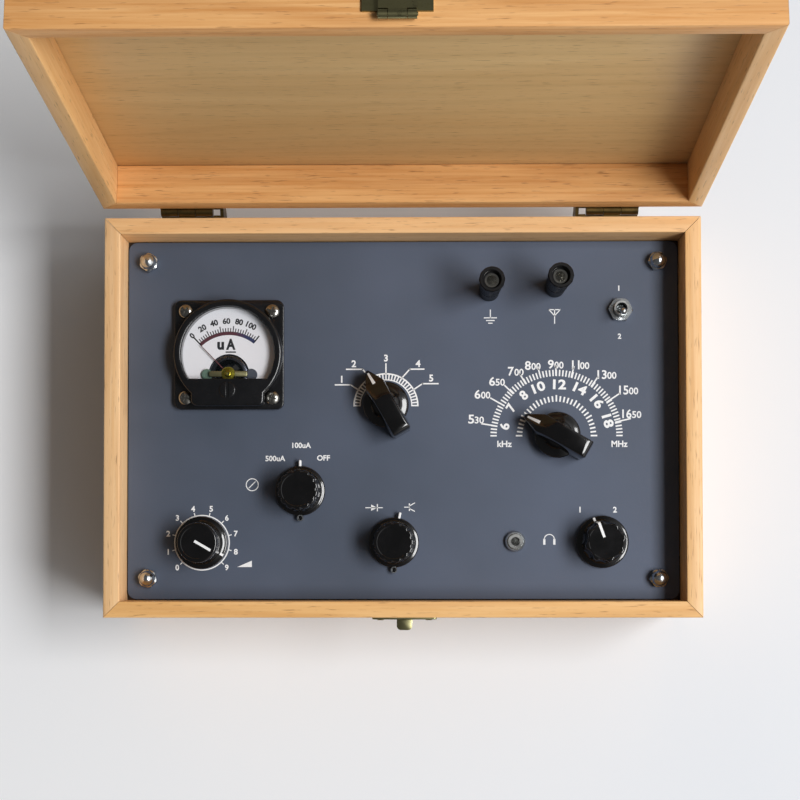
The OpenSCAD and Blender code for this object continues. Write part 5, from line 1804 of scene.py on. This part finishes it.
@dataclass
class PanelPrint:
    """The white printing on the panel: plain scales, numbers and symbols."""

    half_turn: Point = (-90.0, 180.0)
    big: float = 3.7
    small: float = 2.9

    def marks(self, bench: Bench, spot: Spot, *numbers: float) -> Shell:
        """Prints the marks of a scale round a control."""
        return bench.ticks(shift(*spot.value, PANEL_Z + INK_SINK), *numbers)

    def tuning_scale(self, bench: Bench) -> Sheet:
        """Prints the two scales round the tuning knob.

        Args:
            bench: Where the pieces are finished.

        Returns:
            The printed sheet.
        """
        out = Sheet(Spot.TUNING.value)
        out.ink.add(
            self.marks(bench, Spot.TUNING, 61, *self.half_turn, 24.5, 2.6, 0.6),
            self.marks(bench, Spot.TUNING, 31, *self.half_turn, 14.0, 2.3, 0.66, 0.05, 5, 0.4))
        for angle, end in ((-80.8, 31), (-60.1, 31), (-45.7, 29.5), (-30.5, 29.4), (-15, 29.2),
                           (-0.4, 28.8), (14.3, 29.2), (35.3, 29.4), (56.3, 31), (77.1, 31)):
            out.spoke(0.58, 25.0, end, angle)
        for words, r, angle, wide in (
            ("530", 34.3, -79, 2.45), ("600", 35.3, -61.6, 2.45), ("650", 33.4, -48.6, 2.45),
            ("700", 31.4, -33.5, 2.45), ("800", 30.4, -19.9, 2.45), ("900", 29.1, -1.8, 2.45),
            ("1100", 30.3, 17.9, 3.1), ("1300", 31.9, 39, 3.8), ("1500", 34.3, 57.6, 3.8),
            ("1650", 31.4, 74, 3.8),
        ):
            nx, ny = clock(r, angle)
            left = nx + 0.7 - (wide + 4.0) / 2
            out.text(words[:-2], self.big, left + wide / 2, ny + 0.3, 0.0, 0.02, wide)
            out.text(words[-2:], self.small, left + wide + 2.1, ny - 0.05, 0.0, 0.02, 3.8)
        for words, r, angle in (
            ("6", 22.3, -80.5), ("7", 22.4, -59.5), ("8", 21.7, -40.6), ("10", 21.3, -22),
            ("12", 20.9, 1.7), ("14", 21.1, 25.6), ("16", 21.1, 49.3), ("18", 21.2, 74.3),
        ):
            nx, ny = clock(r, angle)
            out.text(words, 4.1, nx + 0.7, ny + 0.2, angle, 0.034, 2.7 * len(words))
        out.text("kHz", 2.6, -21.3, -3.35, 0.0, 0.026, 6.0)
        out.text("MHz", 2.6, 25.8, -3.4, 0.0, 0.026, 6.6)
        return out

    def band_scale(self, bench: Bench) -> Sheet:
        """Prints the ring and the five positions of the band knob.

        Args:
            bench: Where the pieces are finished.

        Returns:
            The printed sheet.
        """
        out = Sheet(Spot.BAND.value)
        out.ink.add(self.marks(bench, Spot.BAND, 31, *self.half_turn, 10.6, 2.4, 0.56))
        out.band(12.8, 13.4, -91.4, 91.4)
        out.band(10.4, 10.85, -91.4, 91.4)
        for number, angle, spot, *rest in (
            ("1", -60, (-18.2, 10.9), (-14.6, 8.6), (-20.8, 8.6)),
            ("2", -30, (-13.2, 17.3), (-9.6, 15.0), (-16.2, 15.0)),
            ("3", 0, (0.0, 19.6), (0.0, 17.2)),
            ("4", 30, (13.2, 17.3), (9.8, 15.0), (15.6, 15.0)),
            ("5", 60, (18.6, 11.3), (15.0, 9.0), (21.4, 9.0)),
        ):
            out.line(0.55, clock(13.1, angle), *rest)
            out.text(number, 2.9, *spot)
        return out

    def gain_scale(self, bench: Bench) -> Sheet:
        """Prints the circle with ten numbered marks and the rising wedge of the gain knob.

        Args:
            bench: Where the pieces are finished.

        Returns:
            The printed sheet.
        """
        out = Sheet(Spot.GAIN.value)
        out.ring(10.95, 11.45, 96)
        out.ink.add(self.marks(bench, Spot.GAIN, 10, -135.0, 270.0, 11.2, 1.4, 0.4))
        for k in range(10):
            out.text(str(k), 2.4, *clock(14.4, -135.0 + 30.0 * k))
        out.patch([(14.5, -10.0), (20.5, -10.0), (20.5, -7.4)])
        return out

    def small_marks(self) -> Sheet:
        """Prints the numbers and symbols of the range, detector, phones and toggle controls.

        Returns:
            The printed sheet.
        """
        out = Sheet()
        for spot, words, height, dx, dy, bold in (
            (Spot.RANGE, "100uA", 2.3, 0.4, 18.8, 0.026),
            (Spot.RANGE, "500uA", 2.3, -10.4, 13.4, 0.026),
            (Spot.RANGE, "OFF", 2.3, 9.4, 13.6, 0.026), (Spot.PHONES, "1", 2.4, -8.9, 13.2, 0.03),
            (Spot.PHONES, "2", 2.4, 5.4, 13.2, 0.03), (Spot.TOGGLE, "1", 2.2, -0.5, 9.0, 0.03),
            (Spot.TOGGLE, "2", 2.2, -0.3, -10.8, 0.03),
        ):
            out.at(spot.value).text(words, height, dx, dy, 0.0, bold)
        struck = out.at(Spot.RANGE.value, -19.9, 2.6)
        struck.ring(2.3, 2.65, 40)
        struck.line(0.35, (-1.3, -1.3), (1.2, 1.2))
        diode = out.at(Spot.DETECTOR.value, -8.2, 14.3)
        diode.line(0.35, (-3.4, 0.0), (3.4, 0.0))
        diode.patch([(-1.2, -1.3), (1.2, 0.0), (-1.2, 1.3)])
        diode.line(0.4, (1.35, -1.3), (1.35, 1.3))
        transistor = out.at(Spot.DETECTOR.value, 6.9, 14.5)
        transistor.line(0.35, (-2.6, 0.0), (-0.6, 0.0))
        transistor.line(0.45, (-0.6, -1.3), (-0.6, 1.3))
        headphones = out.at(Spot.JACK.value, 14.0, 0.8)
        headphones.band(1.9, 2.25, -90.0, 90.0)
        for side in (-1, 1):
            transistor.line(0.35, (-0.6, side * 0.5), (1.5, side * 1.7))
            headphones.line(0.9, (side * 2.05, -0.2), (side * 2.05, -1.7))
        return out

    def aerial_marks(self) -> Sheet:
        """Prints the earth and aerial symbols below the two posts.

        Returns:
            The printed sheet.
        """
        earth = Sheet((36.1, 42.0))
        earth.line(0.4, (0.0, 3.2), (0.0, 0.0))
        for k, half in enumerate((2.5, 1.6, 0.7)):
            earth.line(0.4, (-half, -1.1 * k), (half, -1.1 * k))
        aerial = earth.at((62.5, 42.5))
        aerial.line(0.4, (0.0, -2.8), (0.0, 2.8))
        aerial.line(0.4, (-2.3, 2.8), (0.0, 0.3), (2.3, 2.8))
        aerial.line(0.4, (-2.3, 2.8), (2.3, 2.8))
        return aerial

    def build(self, bench: Bench) -> None:
        """Prints everything on the panel.

        Args:
            bench: Where the pieces are finished.
        """
        for name, sheet in (
            ("tuning", self.tuning_scale(bench)), ("band", self.band_scale(bench)),
            ("gain", self.gain_scale(bench)), ("small", self.small_marks()),
            ("aerial", self.aerial_marks()),
        ):
            bench.piece("print_" + name, sheet.ink, "white_ink", "dial_white")


@dataclass
class BindingPost:
    """The screwed cap of a binding post."""

    name: str
    x: float
    y: float
    cap_r: float = 4.8
    low: float = 63.3
    top: float = 84.0

    def facets(self, angle: float, radius: float, height: float) -> float:
        """Flattens the cap's head into twelve facets."""
        part = angle % (math.pi / 6) - math.pi / 12
        return min(radius, (self.cap_r + 0.22) / math.cos(part)) if radius >= self.cap_r else radius

    def build(self, bench: Bench) -> None:
        """Builds the cap with its fine ribs and open mouth.

        Args:
            bench: Where the pieces are finished.
        """
        low, top, r, neck = self.low, self.top, self.cap_r + 0.4, self.cap_r - 0.45
        cap = turned([
            (2.9, low), (neck - 0.4, low), (neck, low + 0.4), (neck, low + 2.0),
            (neck - 0.2, low + 2.3), (neck - 0.2, low + 2.9), (neck, low + 3.2),
            (neck, top - 4.2), (neck + 0.15, top - 3.7), (r - 0.1, top - 3.0), (r, top - 2.6),
            (r, top - 0.9), (r - 0.15, top - 0.4), (r - 0.5, top), (3.75, top), (3.5, top - 0.3),
            (3.5, top - 3.0), (2.9, top - 3.0)], 96, self.facets)
        cap.add(bench.ticks(shift(0, 0, (low + top) / 2 - 0.5), 28, 0.0, 347.14, neck - 0.35, 0.5,
                            0.5, top - low - 7.8))
        bench.piece(self.name + "_post_cap", cap.moved(shift(self.x, self.y)), "post_plastic",
                    "black_plastic", self.name + "_cap", body=self.name + "_nut")


@dataclass
class ToggleSwitch:
    """The small lever of the toggle switch."""

    tilt: float = 11.0
    pivot: float = 54.0
    ball: float = 2.24
    tip: float = 1.36

    def build(self, bench: Bench) -> None:
        """Builds the bat-shaped lever on its ball.

        Args:
            bench: Where the pieces are finished.
        """
        shell = turned([
            (0.0, -self.ball), *arc(self.ball, -84.0, 60.0, 12), (0.92, 2.2), (0.9, 3.0),
            (1.1, 7.0), (1.33, 9.8), *arc(self.tip, 0.0, 75.0, 5, 0.0, 10.65), (0.0, 12.01)], 40)
        place = shift(*Spot.TOGGLE.value, self.pivot) @ turn(self.tilt, "X")
        bench.piece("toggle_bat", shell.moved(place), "nickel", "nickel", "toggle_lever",
                    body="toggle")


@dataclass
class Catch:
    """The catch plate on the front wall, with its bent hook."""

    x: float = 0.8
    wall_y: float = -80.5
    plate: tuple[float, float, float] = (26.0, 14.0, 0.8)
    middle_z: float = 61.0
    screw_x: float = 9.8
    screw_hole: float = 1.0
    hook_w: float = 6.2
    reach: float = 5.1
    hook_z: tuple[float, float, float] = (64.0, 65.4, 66.6)
    corner: float = 1.7

    def sheet(self) -> Shell:
        """Makes the flat plate with its two screw holes.

        Returns:
            The closed solid.
        """
        width, height, thick = self.plate
        holes = [hole(circle(self.screw_hole, side * self.screw_x, 0.0, 32)) for side in (-1, 1)]
        plate = slab([rounded(width, height, 1.2), *holes],
                     [(0.0, 0.0), (0.0, thick - 0.25), (0.2, thick)], [(0.0, 0.0), (0.0, thick)])
        return plate.moved(shift(self.x, self.wall_y, self.middle_z) @ turn(90.0, "X"))

    def hook(self) -> Shell:
        """Makes the hook: a strip bent down at its end, with round corners seen from above.

        Returns:
            The closed solid.
        """
        low, under, top = self.hook_z
        end, root = self.wall_y - self.reach, self.wall_y - 0.1
        lip = end + self.plate[2]
        section = [(end, low), (lip, low), (lip, under), (root, under), (root, top), (end, top)]
        across = Matrix(
            ((0, 0, 1, self.x - self.hook_w / 2), (1, 0, 0, 0), (0, 1, 0, 0), (0, 0, 0, 1)))
        strip = prism([section], 0.0, self.hook_w).moved(across)
        plan = prism([rounded(self.hook_w, 2 * self.reach, self.corner)], low - 1.0, top + 1.0)
        return softened(worked(strip, plan.moved(shift(self.x, self.wall_y)), Cut.COMMON), 0.22)

    def build(self, bench: Bench) -> None:
        """Builds the catch."""
        bench.piece("catch", self.sheet().add(self.hook()), "brass_plate", "brass_plate",
                    "catch_plate")


@dataclass
class InnerWorks:
    """Pieces that keep their CAD shape: the hinges, the hasp and what is under the panel."""

    finish_of: dict[str, str] = field(default_factory=lambda: {
        "aged_brass": "case_hinge_leaves lid_hinge_leaves hinge_pins",
        "brass_plate": "case_screws lid_screws hasp_plate hasp_pin hasp_lever",
        "socket_metal": "post_studs",
        "dull_nickel": "toggle_switch phone_jack",
        "post_plastic": "post_collars",
        "plate_metal": "tuning_frame tuning_stator",
        "shaft_steel": "tuning_rotor band_shaft",
        "switch_plastic": "selector_switches",
        "wafer_board": "band_switch",
        "core_steel": "gain_pot transformer",
        "ferrite": "ferrite_rod",
        "winding": "tuning_coil",
        "board_green": "detector_board",
        "wire_cover": "hookup_wires",
    })

    def build(self, bench: Bench) -> None:
        """Gives each of these nodes its finish."""
        for finish, nodes in self.finish_of.items():
            bench.dress(finish, *nodes.split())


# ---------------------------------------------------------------- studio


@dataclass
class Studio:
    """Floor, light and camera."""

    place: tuple[float, float, float] = (0.00860, -0.05387, 0.73169)
    angles: tuple[float, float, float] = (-1.765, -0.825, 0.046)
    lens: float = 74.45
    lift: float = 0.125
    floor_half: float = 3.0
    key_distance: float = 1.6
    key_elevation: float = 58.5
    key_forward: float = 0.12
    key_size: Point = (1.0, 0.44)
    key_level: float = 0.8
    fill_level: float = 0.85
    sky_low: float = 0.09

    def floor(self) -> None:
        """Lays a large white floor under the case, painted lighter towards the left to offset the
        lamp's falloff and the lid's shade there.
        """
        mesh, far = bpy.data.meshes.new("floor"), self.floor_half
        corners = [(-far, -far, 0), (far, -far, 0), (far, far, 0), (-far, far, 0)]
        mesh.from_pydata(corners, [], [(0, 1, 2, 3)])
        g = Graph("floor_white")
        # Painted light: the floor is lighter to the left and darker to the right, which evens out
        # the lamp's falloff and the lid's shade on the left.
        base = g.mix(g.span(g.along(0), -0.2, 0.15), "#f7f8fa", "#e0e3e8")
        colour = g.mix(g.times(g.noise(6.0, 2.0), 0.2), base, "#eceef2")
        mesh.materials.append(g.surface(colour, 0.9, Specular_IOR_Level=0.1))
        linked("floor", mesh)

    def world(self) -> None:
        """Sets a surround that is white where it is seen and brightest to the right as light."""
        world = bpy.data.worlds.new("surround")
        world.use_nodes = True
        w = Nodes(world.node_tree, "ShaderNode")
        back = next(n for n in w.tree.nodes if n.type == "BACKGROUND")
        ray = w.node("LightPath").outputs
        split = w.node("SeparateXYZ", {0: w.node("TexCoord").outputs["Generated"]}).outputs
        right, low = (
            w.out("MapRange", {0: source, 1: start, 2: end, 3: self.sky_low / 2, 4: value},
                  interpolation_type="SMOOTHSTEP")
            for source, start, end, value in (
                (split[0], 0.05, 0.9, 0.95), (split[2], 0.3, 0.0, 0.14)))
        seen = ray["Is Camera Ray"]
        w.feed(back.inputs["Color"], w.math("MAXIMUM", w.add(right, low), seen))
        for name in ("Is Glossy Ray", "Is Transmission Ray"):
            seen = w.math("MAXIMUM", seen, ray[name])
        level = w.out("MapRange", {0: seen, 3: self.fill_level, 4: 1.0})
        w.feed(back.inputs["Strength"], level)
        bpy.context.scene.world = world

    def key(self) -> None:
        """Hangs the soft key light on the right."""
        lamp = bpy.data.lights.new("key", "AREA")
        lamp.shape, (lamp.size, lamp.size_y) = "RECTANGLE", self.key_size
        a = math.radians(self.key_elevation)
        lamp.energy = self.key_level * math.pi / math.sin(a) * math.pi * self.key_distance ** 2
        obj = linked("key", lamp)
        away = Vector((math.cos(a), 0.0, math.sin(a)))
        obj.location = Vector((0.0, -self.key_forward, 0.05)) + away * self.key_distance
        obj.rotation_euler = away.to_track_quat("Z", "Y").to_euler()

    def camera(self) -> None:
        """Sets the camera at the photograph's place and angle."""
        data = bpy.data.cameras.new("camera")
        data.lens, data.sensor_width, data.sensor_fit = self.lens, 36.0, "HORIZONTAL"
        data.shift_y, data.clip_start = self.lift, 0.01
        obj = linked("camera", data)
        a, b, c = self.angles
        look = turn(a, "X") @ turn(b, "Y") @ turn(c, "Z")
        obj.matrix_world = Matrix.Translation(self.place) @ look.transposed()
        bpy.context.scene.camera = obj

    def build(self) -> None:
        """Builds the floor, the light and the camera."""
        self.floor()
        self.world()
        self.key()
        self.camera()
        bpy.context.scene.view_settings.view_transform = "Standard"


def main() -> None:
    """Builds the radio piece by piece."""
    logging.basicConfig(level=logging.INFO, format="%(name)s: %(message)s")
    Studio().build()
    bench = Bench()
    knobs = (
        RoundKnob("range", Spot.RANGE, 0.0, flutes=14, nubs=True),
        RoundKnob("detector", Spot.DETECTOR, 12.0, flutes=14, nubs=True),
        RoundKnob("phones", Spot.PHONES, -20.0, top=8.4, skirt=10.7, scallops=8, phase=-6.0,
                  line=(1.9, 8.4)),
        RoundKnob("gain", Spot.GAIN, 120.0, top=8.1, skirt=10.7, line=(-1.2, 6.35)),
        BarKnob("tuning", Spot.TUNING, -60.0),
        BarKnob("band", Spot.BAND, -30.0),
    )
    hardware = PanelHardware()
    WoodCase().build(bench)
    Lid().build(bench)
    hardware.build(bench)
    hardware.control_nuts(bench, [knob.spot for knob in knobs])
    for part in (
        PanelPrint(), Meter(), *knobs, BindingPost("ground", 35.6, 53.0),
        BindingPost("antenna", 62.7, 54.5), ToggleSwitch(), Catch(), InnerWorks(),
    ):
        part.build(bench)
    LOG.info("%d pieces made", bench.made)


if __name__ == "__main__":
    main()
